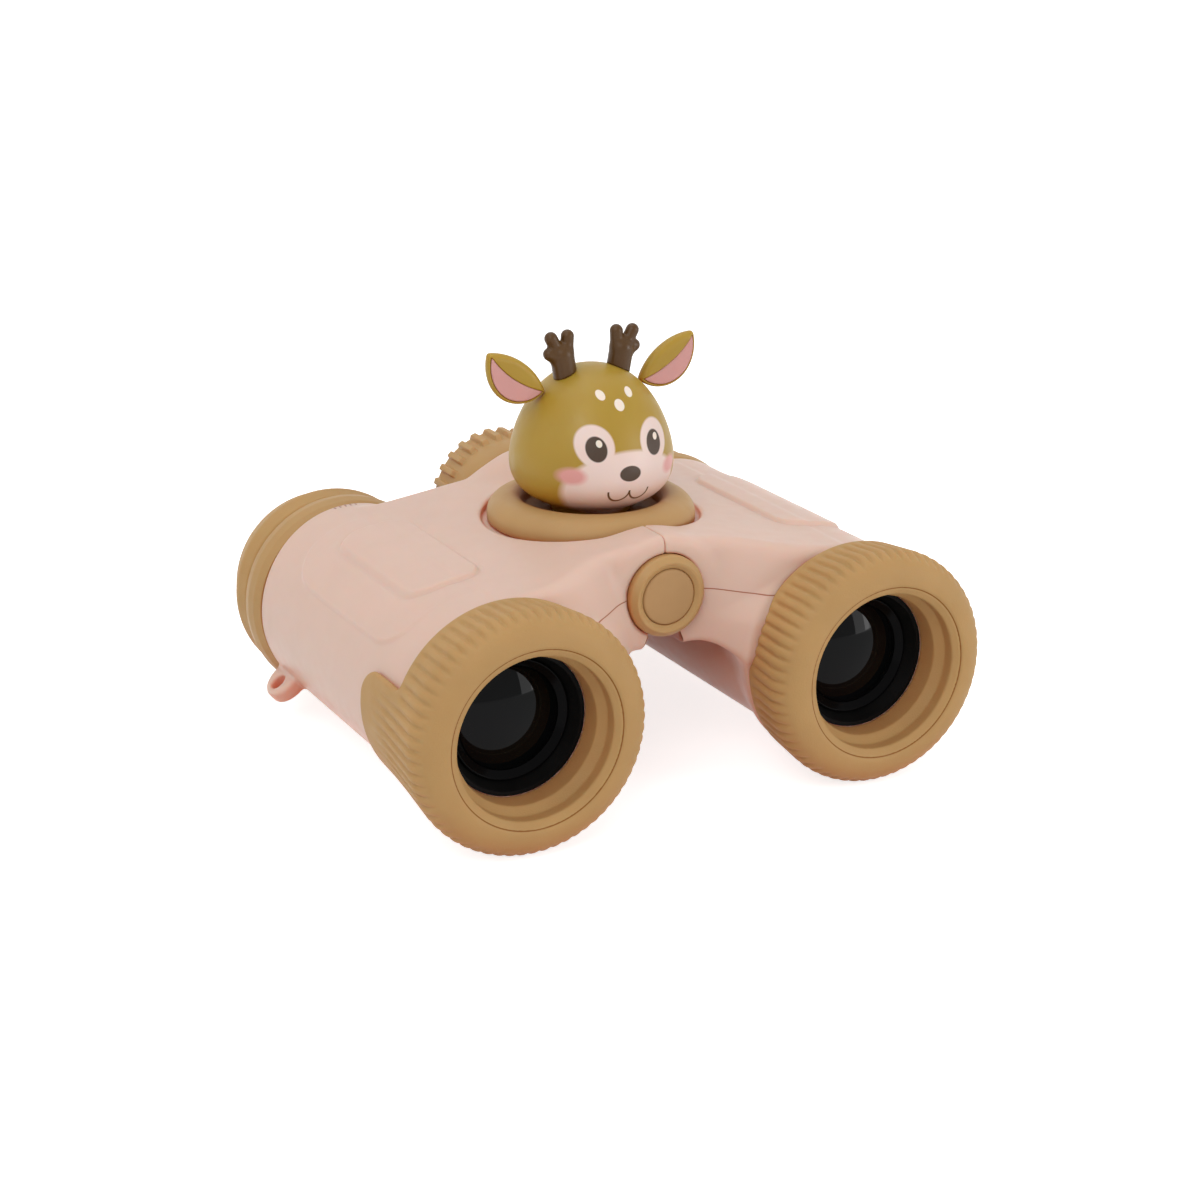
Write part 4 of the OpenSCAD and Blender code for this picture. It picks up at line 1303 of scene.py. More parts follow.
    def opened(self, body: Array, s: Spots) -> Array:
        """Field of the outside with the hinge's bore, the seam, the notch and the turntable's opening.

        Args:
            body: Field without them.
            s: Points to measure.

        Returns:
            Distances.
        """
        bore = self.lip_r + (LAYOUT.core_r - self.lip_r) * ramp(*self.lip_y, s.y)
        body = meet(body, bore - s.hinge, self.lip_round)
        fold = math.radians(self.fold_angle)
        notch = (self.seam - s.x) * math.cos(fold) + (LAYOUT.hinge_z - s.z) * math.sin(fold)
        body = meet(meet(body, self.seam - s.x, self.seam_edge), notch, self.notch_round)
        well = np.hypot(s.x / self.well_wide, s.y - LAYOUT.post_y) - self.well_r
        return meet(body, -np.maximum(well, self.well_z - s.z), self.well_round)

    def hollow(self, s: Spots) -> Array:
        """Field of the room inside a half and of its screw holes.

        Args:
            s: Points to measure.

        Returns:
            Distances.
        """
        bore = np.maximum(s.barrel - LAYOUT.barrel_r + self.wall, slab(s.y, *self.bore_y))
        sight = np.maximum(s.barrel - self.sight_r, s.y - self.bore_y[0] - self.overlap)
        tube = np.maximum(s.barrel - self.tube_r, self.bore_y[1] - self.overlap - s.y)
        room = np.maximum(LAYOUT.wrap_r - s.hinge, s.x - self.room_x)
        room = np.maximum(room, slab(s.z, *self.room_z))
        room = np.maximum(room, slab(s.y, LAYOUT.bridge_front + self.wall, LAYOUT.bridge_rear - self.wall))
        fall = math.radians(self.arm_fall)
        drop = (s.z - LAYOUT.hinge_z) * math.cos(fall) + s.x * math.sin(fall)
        window = np.maximum(np.abs(drop) - self.window_h, slab(s.y, *self.window_y))
        window = np.maximum(window, slab(s.x, *self.window_x))
        parts = [bore, sight, tube, window]
        for boss_y in self.boss_y:
            off = np.hypot(s.x - self.boss_x, s.y - boss_y)
            room = np.maximum(room, self.boss_r - off)
            parts.append(np.maximum(off - self.screw_r, s.z - self.screw_top))
            parts.append(np.maximum(off - self.screw_head_r, s.z - self.screw_head_z))
        return np.minimum.reduce([room] + parts)

    def half(self, p: Array) -> Array:
        """Field of the wearer's left half, at positive X.

        Args:
            p: Points to measure.

        Returns:
            Distances.
        """
        s = Spots.of(p)
        low_front = (1.0 - ramp(*self.web_y, s.y)) * (1.0 - ramp(*self.web_z, s.z))
        body = join(self.barrel(s), self.bridge(s), self.web_soft + self.web_more * low_front)
        body = join(body, self.wrap(s), self.wrap_soft) - self.plate(s)
        body = join(body, self.lug(s), self.lug_soft)
        spigot = np.maximum(s.barrel - self.spigot_r, slab(s.y, self.spigot_y, LAYOUT.ring_l + self.overlap))
        return np.maximum(self.opened(np.minimum(body, spigot), s), -self.hollow(s))

    def build(self) -> None:
        """Makes both halves' shells with their knuckles and the setting marks."""
        verts, quads = skin(self.half, *self.box, self.step)
        knuckles = Knuckles(self.seam, self.fold_angle)
        for side in Side:
            item = mesh_piece(f"{side.word}_shells", side.turned(verts), quads)
            nodes = (f"{side.word}_upper_shell", f"{side.word}_lower_shell")
            Piece(item, side.half, nodes).settle(SHELL)
            knuckles.build(side)
        SettingTicks(LAYOUT.barrel_r + self.top_step).build()


@dataclass
class ObjectiveRings:
    """Rubber objective rings: round nose, stepped bowl, soft flutes and a thumb heel."""

    # Grid of the skin, and of the table of the section's distances
    step: float = 0.26
    margin: float = 0.8
    box_y: Span = (-0.6, 29.4)
    cell: float = 0.06
    cell_guard: float = 1.001
    section_low: Point = (11.0, -1.6)
    section_high: Point = (23.0, 31.0)
    # Outside
    ring_r: float = 20.8
    rear_r: float = 19.9
    rear_y: float = 12.98
    edge: float = 0.9
    crest_gap: float = 0.3
    crest_steps: int = 40
    nose_l: float = 4.8
    nose_r: float = 15.9
    nose_power: float = 2.1
    nose_steps: int = 30
    # Bowl: the lip's points are past the rim and behind the front
    rim_r: float = 15.2
    lip: tuple[Point, ...] = ((0.3, 0.05), (0.08, 0.2), (-0.05, 0.42), (-0.25, 0.3))
    step_r: float = 13.8
    step_y: Span = (0.95, 3.1)
    step_edge: Point = (0.12, 0.2)
    wall_r: float = 12.55
    wall_y: float = 4.4
    wall_edge: Point = (0.15, 0.2)
    sight_r: float = 12.45
    seat_r: float = 16.42
    seat_y: float = 8.48
    # Flutes, which fade to the front, to the rear edge and along the heel
    flutes: int = 64
    flute_w: float = 0.42
    flute_depth: float = 0.47
    flute_front: Span = (0.8, 3.4)
    flute_rear: Span = (9.5, 12.6)
    flute_heel: Span = (13.0, 25.0)
    flute_r: Span = (17.0, 18.2)
    # Thumb heel
    heel_l: float = 15.5
    heel_span: float = 76.0
    heel_angle: float = -17.0
    heel_t: float = 1.0
    heel_corner: float = 5.0
    heel_root: float = 2.4
    heel_fade: float = 4.0
    heel_gap: float = 0.05
    heel_over: float = 2.0

    def crest(self, y: float) -> float:
        """Outside radius behind the nose: the ring's taper, run on over the heel.

        Args:
            y: Place along the barrel.

        Returns:
            The radius.
        """
        taper = (self.ring_r - self.rear_r) / (LAYOUT.ring_l - self.nose_l)
        if y < LAYOUT.ring_l:
            return self.ring_r - taper * (y - self.nose_l)
        share = min((y - LAYOUT.ring_l) / self.heel_l, 1.0)
        drop = self.rear_r - LAYOUT.barrel_r - self.heel_t
        ease = taper * self.heel_l / drop
        return self.rear_r - drop * share * (ease + (1.0 - ease) * share)

    def profile(self) -> list[Point]:
        """Closed section of ring and heel.

        Returns:
            Points (radius, y).
        """
        bend = 2.0 / self.nose_power
        reach = self.ring_r - self.nose_r
        turns = np.radians(np.linspace(0.0, 90.0, self.nose_steps + 1))
        nose = [(self.nose_r + reach * math.cos(a) ** bend, self.nose_l * (1.0 - math.sin(a) ** bend))
                for a in turns[:-1]]
        lip = [(self.rim_r + out, y) for out, y in self.lip]
        bowl = [(self.step_r + self.step_edge[0], self.step_y[0]),
                (self.step_r, self.step_y[0] + self.step_edge[1]), (self.step_r, self.step_y[1]),
                (self.wall_r + self.wall_edge[0], self.wall_y),
                (self.wall_r, self.wall_y + self.wall_edge[1])]
        end = LAYOUT.ring_l + self.heel_l + self.heel_over
        outer = [(self.crest(y), y) for y in np.linspace(end, self.nose_l + self.crest_gap, self.crest_steps)]
        under = LAYOUT.barrel_r + self.heel_gap
        inner = [(self.sight_r, self.seat_y), (self.seat_r, self.seat_y), (self.seat_r, self.rear_y),
                 (under, self.rear_y), (under, end)]
        return inner + outer + nose + [(self.nose_r, 0.0)] + lip + bowl

    def section(self) -> Array:
        """Signed distances of the section on a fine grid.

        Returns:
            Distances by steps of radius and of y from the grid's low corner.
        """
        points = np.array(self.profile())
        axes = [np.arange(a, b, self.cell) for a, b in zip(self.section_low, self.section_high)]
        gr, gy = np.meshgrid(*axes, indexing="ij")
        best = np.full(gr.shape, FAR)
        inside = np.zeros(gr.shape, bool)
        for a, b in zip(points, np.roll(points, -1, axis=0)):
            run = b - a
            t = np.clip(((gr - a[0]) * run[0] + (gy - a[1]) * run[1]) / max(run @ run, TINY), 0.0, 1.0)
            best = np.minimum(best, np.hypot(gr - a[0] - t * run[0], gy - a[1] - t * run[1]))
            crosses = (a[1] > gy) != (b[1] > gy)
            rise = run[1] if abs(run[1]) > TINY else TINY
            inside ^= crosses & (gr < a[0] + (gy - a[1]) / rise * run[0])
        return np.where(inside, -best, best)

    def looked_up(self, table: Array, r: Array, y: Array) -> Array:
        """Section distance between grid points, and beyond the grid by how far it is left.

        Args:
            table: Distances on the grid.
            r: Distances from the barrel's axis.
            y: Places along it.

        Returns:
            Distances.
        """
        low_r, low_y = self.section_low
        u = np.clip((r - low_r) / self.cell, 0.0, table.shape[0] - self.cell_guard)
        v = np.clip((y - low_y) / self.cell, 0.0, table.shape[1] - self.cell_guard)
        i, j = u.astype(int), v.astype(int)
        fu, fv = u - i, v - j
        near = table[i, j] * (1.0 - fu) + table[i + 1, j] * fu
        far = table[i, j + 1] * (1.0 - fu) + table[i + 1, j + 1] * fu
        left = np.hypot(r - low_r - u * self.cell, y - low_y - v * self.cell)
        return near * (1.0 - fv) + far * fv + left

    def flute(self, r: Array, y: Array, angle: Array, off_heel: Array) -> Array:
        """Depth of the flutes.

        Args:
            r: Distances from the barrel's axis.
            y: Places along it.
            angle: Angles about it.
            off_heel: Distances round the barrel from the heel's sides.

        Returns:
            Depths.
        """
        pitch = 2.0 * math.pi / self.flutes
        across = ((angle / pitch) % 1.0 - 0.5) * pitch * r
        groove = self.flute_depth * np.exp(-(across / self.flute_w) ** 2)
        on_heel = 1.0 - ramp(-self.heel_fade, 0.0, off_heel)
        fade = ramp(*self.flute_front, y) * (1.0 - ramp(*self.flute_rear, y) * (1.0 - on_heel))
        return groove * (fade * (1.0 - ramp(*self.flute_heel, y))) * ramp(*self.flute_r, r)

    def shape(self) -> Field:
        """Field of the wearer's left ring, at positive X.

        Returns:
            The field.
        """
        table = self.section()
        heel_r = LAYOUT.barrel_r + self.heel_t
        half_w = math.radians(self.heel_span / 2.0) * heel_r

        def ring(p: Array) -> Array:
            """Turned section, cut behind to the ring's rear edge and the heel's outline, with flutes.

            Args:
                p: Points to measure.

            Returns:
                Distances.
            """
            x, y, z = p[:, 0] - LAYOUT.barrel_x, p[:, 1], p[:, 2]
            r = np.hypot(x, z)
            angle = np.arctan2(z, x)
            off = (angle - math.radians(self.heel_angle)) * heel_r
            heel = round_box(off, y - LAYOUT.ring_l, half_w, self.heel_l, self.heel_corner)
            plan = join(y - self.rear_y, heel, self.heel_root)
            body = meet(self.looked_up(table, r, y), plan, self.edge)
            return body + self.flute(r, y, angle, np.abs(off) - half_w)

        return ring

    def build(self) -> None:
        """Makes both rings."""
        reach = self.ring_r + self.margin
        low = (LAYOUT.barrel_x - reach, self.box_y[0], -reach)
        high = (LAYOUT.barrel_x + reach, self.box_y[1], reach)
        verts, quads = skin(self.shape(), low, high, self.step)
        for side in Side:
            name = f"{side.word}_objective_ring"
            item = mesh_piece(f"{name}_rubber", side.turned(verts), quads)
            Piece(item, side.half, (name,)).settle(RING)


@dataclass
class Eyepieces:
    """Collars and eyecups behind both barrels. Corners are (radius, way from an end, fillet)."""

    tube_r: float = 12.02
    collar_front: float = 77.1
    collar_rear: float = 83.3
    collar_edge: Corner = (17.5, 0.0, 0.3)
    collar_front_shoulder: Corner = (18.35, 1.3, 0.9)
    collar_crest_r: float = 18.7
    collar_crest_round: float = 2.0
    collar_rear_shoulder: Corner = (18.45, -1.2, 0.9)
    cup_gap: float = 0.02
    cup_foot_r: float = 16.5
    cup_base: Corner = (17.7, 1.1, 0.7)
    cup_waist: Corner = (18.2, 4.4, 3.0)
    cup_rim: Corner = (16.05, -1.5, 1.4)
    cup_lip: Corner = (14.9, 0.0, 1.0)
    cup_mouth: Corner = (13.3, -0.1, 0.8)
    cup_floor: float = 89.6
    cup_floor_round: float = 0.4

    def at(self, y: float, *corners: Corner) -> list[Corner]:
        """Corners moved along to an end at y."""
        return [(r, y + way, fillet) for r, way, fillet in corners]

    def collar(self) -> list[Point]:
        """Section of a collar with a full round bulge.

        Returns:
            Points (radius, y).
        """
        inner = (self.tube_r, 0.0, 0.0)
        front = self.at(self.collar_front, inner, self.collar_edge, self.collar_front_shoulder)
        crest = (self.collar_crest_r, (self.collar_front + self.collar_rear) / 2.0, self.collar_crest_round)
        rear = self.at(self.collar_rear, self.collar_rear_shoulder, self.collar_edge, inner)
        return filleted(front + [crest] + rear)

    def cup(self) -> list[Point]:
        """Section of an eyecup with a rolled rim and a flared mouth.

        Returns:
            Points (radius, y).
        """
        foot = ((self.tube_r, 0.0, 0.0), (self.cup_foot_r, 0.0, 0.0))
        front = self.at(self.collar_rear + self.cup_gap, *foot, self.cup_base, self.cup_waist)
        rear = self.at(LAYOUT.length, self.cup_rim, self.cup_lip, self.cup_mouth)
        return filleted(front + rear + [(self.tube_r, self.cup_floor, self.cup_floor_round)])

    def build(self) -> None:
        """Makes the collars and eyecups."""
        collars = {Side.RIGHT: "right_dioptre_collar", Side.LEFT: "left_collar"}
        bodies = {Side.RIGHT: "right_dioptre", Side.LEFT: "left_half"}
        for side in Side:
            body, x = bodies[side], side.value * LAYOUT.barrel_x
            Turned(f"{side.word}_collar_rubber", body, (collars[side],), x, 0.0).build(self.collar(), TAN)
            cup = f"{side.word}_eyecup"
            Turned(f"{cup}_rubber", body, (cup,), x, 0.0).build(self.cup(), RUBBER)


@dataclass
class ObjectiveLenses:
    """Domed objective lenses and the polished retaining rings that hold them in their cells."""

    lens_r: float = 10.38
    clear_r: float = 8.84
    dome_y: float = 11.2
    bulge: float = 1.9
    dome_steps: int = 48
    front: float = 12.42
    rear: float = 15.0
    edge: float = 0.12
    ring_y: float = 10.3
    ring_gaps: Point = (0.06, 0.03)
    ring_rear_gap: float = 0.02
    ring_rim: float = 0.25
    ring_sink: float = 0.05
    ring_round: float = 0.1

    def lens(self) -> list[Point]:
        """Section of a lens: a dome through the retaining ring, and a flange behind it.

        Returns:
            Points (radius, y).
        """
        sweep = (self.clear_r ** 2 + self.bulge ** 2) / (2.0 * self.bulge)
        top = self.dome_y - self.bulge + sweep
        dome = [(float(r), top - math.sqrt(sweep ** 2 - r * r))
                for r in np.linspace(0.0, self.clear_r, self.dome_steps)]
        flange = [(self.clear_r, self.front), (self.lens_r, self.front), (self.lens_r, self.rear - self.edge),
                  (self.lens_r - self.edge, self.rear), (0.0, self.rear)]
        return dome + flange

    def retainer(self) -> list[Point]:
        """Section of a retaining ring, whose inner chamfer leads down to the lens.

        Returns:
            Points (radius, y).
        """
        inner, outer = self.clear_r + self.ring_gaps[0], self.lens_r - self.ring_gaps[1]
        rear = self.front - self.ring_rear_gap
        return filleted([(inner, rear, 0.0), (outer, rear, 0.0), (outer, self.ring_y, self.ring_round),
                         (outer - self.ring_rim, self.ring_y, self.ring_round),
                         (inner, self.dome_y - self.ring_sink, self.ring_round)])

    def build(self) -> None:
        """Makes a lens and a retaining ring for each cell."""
        for side in Side:
            body, x = f"{side.word}_cell", side.value * LAYOUT.barrel_x
            lens, ring = f"{side.word}_objective_lens", f"{side.word}_lens_retainer"
            Turned(f"{lens}_glass", body, (lens,), x, 0.0).build(self.lens(), GLASS)
            Turned(f"{ring}_gloss", body, (ring,), x, 0.0).build(self.retainer(), GLOSS)


@dataclass
class HingeCap:
    """Cap ring and disc on the front end of the hinge, and the sleeve behind them."""

    ring_r: float = 7.1
    axle_r: float = 3.02
    front: float = 17.0
    rear: float = 19.4
    rear_round: float = 0.15
    bevel_w: float = 1.0
    bevel_l: float = 0.9
    bevel_rounds: Span = (0.8, 0.5)
    # Corners of the groove round the disc: past the disc's seat, behind the front, fillet
    groove: tuple[Corner, ...] = ((0.75, 0.1, 0.2), (0.1, 0.55, 0.1), (0.0, 0.75, 0.05))
    seat_gap: float = 0.03
    floor_gap: float = 0.02
    disc_r: float = 4.9
    disc_front: float = 17.42
    disc_rear: float = 18.13
    disc_dish: float = 0.2
    disc_flat: float = 0.35
    disc_steps: int = 18
    # Points of the disc's edge: inside its radius, behind its front
    disc_edge: tuple[Point, ...] = ((0.16, 0.06), (0.04, 0.3))
    sleeve_r: float = 7.6
    sleeve_nose_r: float = 6.95
    sleeve_front: float = 19.45
    sleeve_neck: float = 20.5
    sleeve_rear: float = 26.9
    sleeve_chamfer: float = 0.5
    sleeve_round: float = 0.2
    sleeve_rear_round: float = 0.3

    def ring(self) -> list[Point]:
        """Section of the ring with its bevel and groove.

        Returns:
            Points (radius, y).
        """
        seat, floor = self.disc_r + self.seat_gap, self.disc_rear + self.floor_gap
        outside = [(self.axle_r, floor, 0.0), (self.axle_r, self.rear, 0.0),
                   (self.ring_r, self.rear, self.rear_round),
                   (self.ring_r, self.front + self.bevel_l, self.bevel_rounds[0]),
                   (self.ring_r - self.bevel_w, self.front, self.bevel_rounds[1])]
        groove = [(seat + out, self.front + way, fillet) for out, way, fillet in self.groove]
        return filleted(outside + groove + [(seat, floor, 0.0)])

    def disc(self) -> list[Point]:
        """Section of the disc, a little dished to the rim.

        Returns:
            Points (radius, y).
        """
        middle = self.disc_front - self.disc_dish
        face = [(float(r), middle + self.disc_dish * (r / self.disc_r) ** 2)
                for r in np.linspace(0.0, self.disc_r - self.disc_flat, self.disc_steps)]
        edge = [(self.disc_r - inset, self.disc_front + way) for inset, way in self.disc_edge]
        return face + edge + [(self.disc_r, self.disc_rear), (0.0, self.disc_rear)]

    def sleeve(self) -> list[Point]:
        """Section of the stepped sleeve.

        Returns:
            Points (radius, y).
        """
        return filleted([(self.axle_r, self.sleeve_front, 0.0),
                         (self.sleeve_nose_r, self.sleeve_front, self.sleeve_round),
                         (self.sleeve_nose_r, self.sleeve_neck, 0.0),
                         (self.sleeve_r, self.sleeve_neck + self.sleeve_chamfer, self.sleeve_round),
                         (self.sleeve_r, self.sleeve_rear, self.sleeve_rear_round),
                         (self.axle_r, self.sleeve_rear, 0.0)])

    def build(self) -> None:
        """Makes the ring, the disc and the sleeve."""
        rows = (("cap_ring", self.ring(), TAN), ("cap_disc", self.disc(), CAP_GRAIN),
                ("hinge_sleeve", self.sleeve(), DARK))
        for node, profile, finish in rows:
            Turned(f"{node}_trim", "core", (node,), 0.0, LAYOUT.hinge_z).build(profile, finish)


@dataclass
class FocusWheel:
    """Focus wheel with a smooth rounded front and soft rectangular ribs."""

    front: float = 74.0
    rear: float = 86.0
    face_r: float = 10.6
    face_flat: float = 0.3
    nose_l: float = 4.2
    nose_turn: Span = (-80.0, 0.0)
    nose_steps: int = 14
    side_gap: float = 0.3
    side_steps: int = 26
    edge: float = 0.8
    edge_shares: Point = (0.25, 0.4)
    hub_r: float = 2.42
    rib_r: float = 13.1
    rib_h: float = 0.9
    ribs: int = 28
    rib_segments: int = 24
    rib_share: float = 0.45
    rib_soft: float = 0.05
    rib_from: float = 5.6
    rib_ease: float = 0.3
    rib_end_shares: Span = (1.5, 0.4)
    rib_root: Span = (0.6, 0.2)
    cap_r: float = 7.0
    cap_t: float = 1.4
    cap_gap: float = 0.03
    cap_floor_gap: float = 0.02
    cap_chamfer: Point = (0.3, 0.2)
    cap_edge: float = 0.25
    cap_rim: float = 0.05
    cap_flat: float = 0.6
    cap_dome: float = 0.1
    cap_steps: int = 14

    def relief(self, r: Array, y: Array, angle: Array) -> Array:
        """Radius with the ribs raised on the rim.

        Args:
            r: Radii.
            y: Places along.
            angle: Turning angles.

        Returns:
            New radii.
        """
        off = np.abs((angle * self.ribs / (2.0 * math.pi)) % 1.0 - 0.5)
        half = self.rib_share / 2.0
        rib = 1.0 - ramp(half - self.rib_soft, half + self.rib_soft, off)
        start = self.front + self.rib_from
        ends = [self.rear - share * self.edge for share in self.rib_end_shares]
        zone = ramp(start - self.rib_ease, start + self.rib_ease, y) * (1.0 - ramp(*ends, y))
        root = [self.rib_r - self.rib_h - depth for depth in self.rib_root]
        return r + self.rib_h * rib * zone * ramp(*root, r)

    def wheel(self) -> list[Point]:
        """Section of the wheel under its ribs, with the seat of its rear cap.

        Returns:
            Points (radius, y).
        """
        rim = self.rib_r - self.rib_h
        shoulder = self.front + self.nose_l
        nose = arc((self.face_r, shoulder), (rim - self.face_r, self.nose_l), self.nose_turn, self.nose_steps)
        run = np.linspace(shoulder + self.side_gap, self.rear - self.edge, self.side_steps)
        side = [(rim, y) for y in run]
        floor, seat = self.rear - self.cap_t, self.cap_r + self.cap_gap
        back = [(rim - self.edge_shares[0] * self.edge, self.rear - self.edge_shares[1] * self.edge),
                (rim - self.edge, self.rear), (self.cap_r + self.cap_chamfer[0], self.rear),
                (seat, self.rear - self.cap_chamfer[1]), (seat, floor), (self.hub_r, floor)]
        return [(self.hub_r, self.front), (self.face_r - self.face_flat, self.front)] + nose + side + back

    def cap(self) -> list[Point]:
        """Section of the slightly domed rear cap.

        Returns:
            Points (radius, y).
        """
        floor = self.rear - self.cap_t + self.cap_floor_gap
        edge = [(0.0, floor), (self.cap_r, floor), (self.cap_r, self.rear - self.cap_edge),
                (self.cap_r - self.cap_edge, self.rear - self.cap_rim)]
        dome = [(float(r), self.rear - self.cap_dome * (r / self.cap_r) ** 2)
                for r in np.linspace(self.cap_r - self.cap_flat, 0.0, self.cap_steps)]
        return edge + dome

    def build(self) -> None:
        """Makes the wheel and its rear cap."""
        body, axis = "focus_wheel", (0.0, LAYOUT.hinge_z)
        wheel = Turned("focus_wheel_trim", body, ("focus_wheel",), *axis, self.ribs * self.rib_segments)
        wheel.build(self.wheel(), TAN, self.relief)
        Turned("wheel_cap_trim", body, ("wheel_cap",), *axis).build(self.cap(), TAN)


def turn_upright(name: str, profile: Sequence[Point], finish: Finish, node: str, lift: float) -> None:
    """Makes a piece turned about the turntable's upright axis.

    Args:
        name: Name of the piece.
        profile: Points (radius, height).
        finish: Finish of the piece.
        node: Node that it stands for.
        lift: Height of the profile's zero.
    """
    verts, faces = lathe(profile, TURN_STEPS)
    verts = verts[:, [0, 2, 1]] + np.array([0.0, LAYOUT.post_y, lift])
    Piece(mesh_piece(name, verts, faces), "turntable", (node,)).settle(finish)


@dataclass
class Turntable:
    """Dished round plinth that carries the head."""

    table_r: float = 18.3
    edge_h: float = 1.2
    edge_gap: float = 0.3
    chamfer: float = 0.15
    crest_r: float = 14.0
    crest_h: float = 4.6
    crown_steps: int = 20
    dish_r: float = 11.8
    dish_steps: int = 16
    floor_t: float = 1.9
    stub_r: float = 2.0
    stub_z: float = 16.8
    stub_round: float = 0.05

    def build(self) -> None:
        """Makes the plinth with its stub."""
        stub = self.stub_z - LAYOUT.table_z
        under = [(0.0, stub), (self.stub_r, stub), (self.stub_r, -self.stub_round),
                 (self.stub_r + self.stub_round, 0.0)]
        side = [(self.table_r - self.chamfer, 0.0), (self.table_r, self.chamfer),
                (self.table_r, self.edge_h - self.edge_gap)]
        crown = arc((self.crest_r, self.edge_h), (self.table_r - self.crest_r, self.crest_h - self.edge_h),
                    (0.0, 90.0), self.crown_steps)
        dish = arc((self.crest_r, self.floor_t), (self.crest_r - self.dish_r, self.crest_h - self.floor_t),
                   (90.0, 180.0), self.dish_steps)
        profile = under + side + crown + dish[1:] + [(0.0, self.floor_t)]
        turn_upright("turntable_plinth", profile, TAN, "turntable", LAYOUT.table_z)


@dataclass(frozen=True)
class Limb:
    """A round-ended limb of an antler, from one place to another in the plane of the head's axis."""

    x0: float
    z0: float
    x1: float
    z1: float
    r: float


ANTLER_LIMBS = (
    Limb(4.9, 44.6, 5.8, 49.6, 2.1),
    Limb(4.9, 50.0, 4.75, 52.75, 1.15),
    Limb(6.6, 50.2, 7.9, 52.6, 1.15),
    Limb(6.8, 48.9, 8.2, 49.9, 1.1),
)


@dataclass
class FawnHead:
    """A fawn's head with ears, rose linings and antlers on the turntable.

    Boxes of grids and places on the ears are about the head's axis and base.
    """

    step: float = 0.16
    seat_gap: float = 0.02
    # Head, and its hollow
    radius: float = 14.396
    height: float = 25.6
    mid: float = 9.36
    low: float = 0.4
    top_powers: Span = (1.6, 2.3)
    low_powers: Span = (2.5, 2.1)
    head_steps: int = 120
    neck_r: float = 7.0
    neck_gap: float = 0.2
    wall: float = 1.6
    hollow_stride: int = 6
    hollow_from: int = 8
    # Ears
    ear_box: Box = ((6.4, -2.0, 17.6), (21.6, 2.0, 32.0))
    ear_t: float = 2.4
    ear_gap: float = 0.02
    ear_l: float = 13.1
    ear_rise: float = 2.4
    ear_belly: float = 4.9
    ear_angle: float = 32.0
    ear_root: Point = (9.2, 21.8)
    ear_hook: float = 0.9
    ear_hook_end: float = 1.2
    ear_tip_round: float = 0.4
    ear_rim_round: float = 1.3
    ear_hollow_w: float = 0.55
    ear_hollow_round: float = 0.25
    # Linings
    lining_box: Box = ((6.4, -1.8, 17.6), (21.6, 0.2, 32.0))
    lining_drop: float = 0.9
    lining_inset: float = 0.5
    lining_gap: float = 0.1
    lining_w: Span = (0.57, 1.02)
    lining_round: float = 0.3
    # Antlers
    antler_box: Box = ((2.4, -2.4, 21.0), (10.2, 2.4, 33.4))
    antler_soft: float = 0.6

    def radius_at(self, z: float) -> float:
        """Radius of the head at a height above its base.

        Args:
            z: The height.

        Returns:
            The radius.
        """
        upper = z > self.mid
        share = (z - self.mid) / (self.height - self.mid) if upper else (self.mid - z) / (self.mid - self.low)
        rise, reach = self.top_powers if upper else self.low_powers
        return self.radius * max(0.0, 1.0 - share ** rise) ** (1.0 / reach)

    def local(self, p: Array) -> tuple[Array, Array, Array]:
        """Coordinates about the head's axis and flat base."""
        return p[:, 0], p[:, 1] - LAYOUT.post_y, p[:, 2] - LAYOUT.head_z

    def beside(self, body: Array, p: Array) -> Array:
        """Field of a piece that stops at the head's upper part.

        Args:
            body: Field of the whole piece.
            p: Points to measure.

        Returns:
            Distances.
        """
        x, y, z = self.local(p)
        share = np.maximum(z - self.mid, 0.0) / (self.height - self.mid)
        rise, reach = self.top_powers
        egg = (share ** rise + (np.hypot(x, y) / self.radius) ** reach) ** (1.0 / reach)
        return np.maximum(body, -(egg - 1.0) * self.radius + self.seat_gap)

    def bow(self, u: Array, v: Array, sag: float) -> Array:
        """Distance outside the circle through an ear's root and tip that rises by sag to positive v."""
        r = (self.ear_l ** 2 / 4.0 + sag * sag) / (2.0 * sag)
        return np.hypot(u - self.ear_l / 2.0, v + r - sag) - r

    def ear_frame(self, p: Array) -> tuple[Array, Array, Array]:
        """Coordinates along, across and out of the wearer's left ear, whose tip is hooked up.

        Args:
            p: Points to measure.

        Returns:
            The three coordinates.
        """
        x, y, z = self.local(p)
        a = math.radians(self.ear_angle)
        dx, dz = x - self.ear_root[0], z - self.ear_root[1]
        along = dx * math.cos(a) + dz * math.sin(a)
        lift = self.ear_hook * np.clip(along / self.ear_l, 0.0, self.ear_hook_end) ** 3
        return along, dz * math.cos(a) - dx * math.sin(a) - lift, -y

    def leaf(self, u: Array, v: Array, inset: float) -> Array:
        """Flat field of the lining's leaf in the lower part of an ear.

        Args:
            u: Places along the ear.
            v: Places across it.
            inset: Way in from the ear's rim.

        Returns:
            Distances.
        """
        above = -self.bow(u, -v, self.lining_drop)
        return meet(self.bow(u, -v, self.ear_belly) + inset, above, self.lining_round)

    def ear(self, p: Array) -> Array:
        """Field of an ear: a pointed leaf with a rounded rim and a hollow for its lining.

        Args:
            p: Points to measure.

        Returns:
            Distances.
        """
        u, v, w = self.ear_frame(p)
        outline = meet(self.bow(u, v, self.ear_rise), self.bow(u, -v, self.ear_belly), self.ear_tip_round)
        ear = meet(outline, np.abs(w) - self.ear_t / 2.0 + self.ear_gap, self.ear_rim_round)
        hollow = np.maximum(self.leaf(u, v, self.lining_inset), self.ear_hollow_w - w)
        return self.beside(meet(ear, -hollow, self.ear_hollow_round), p)

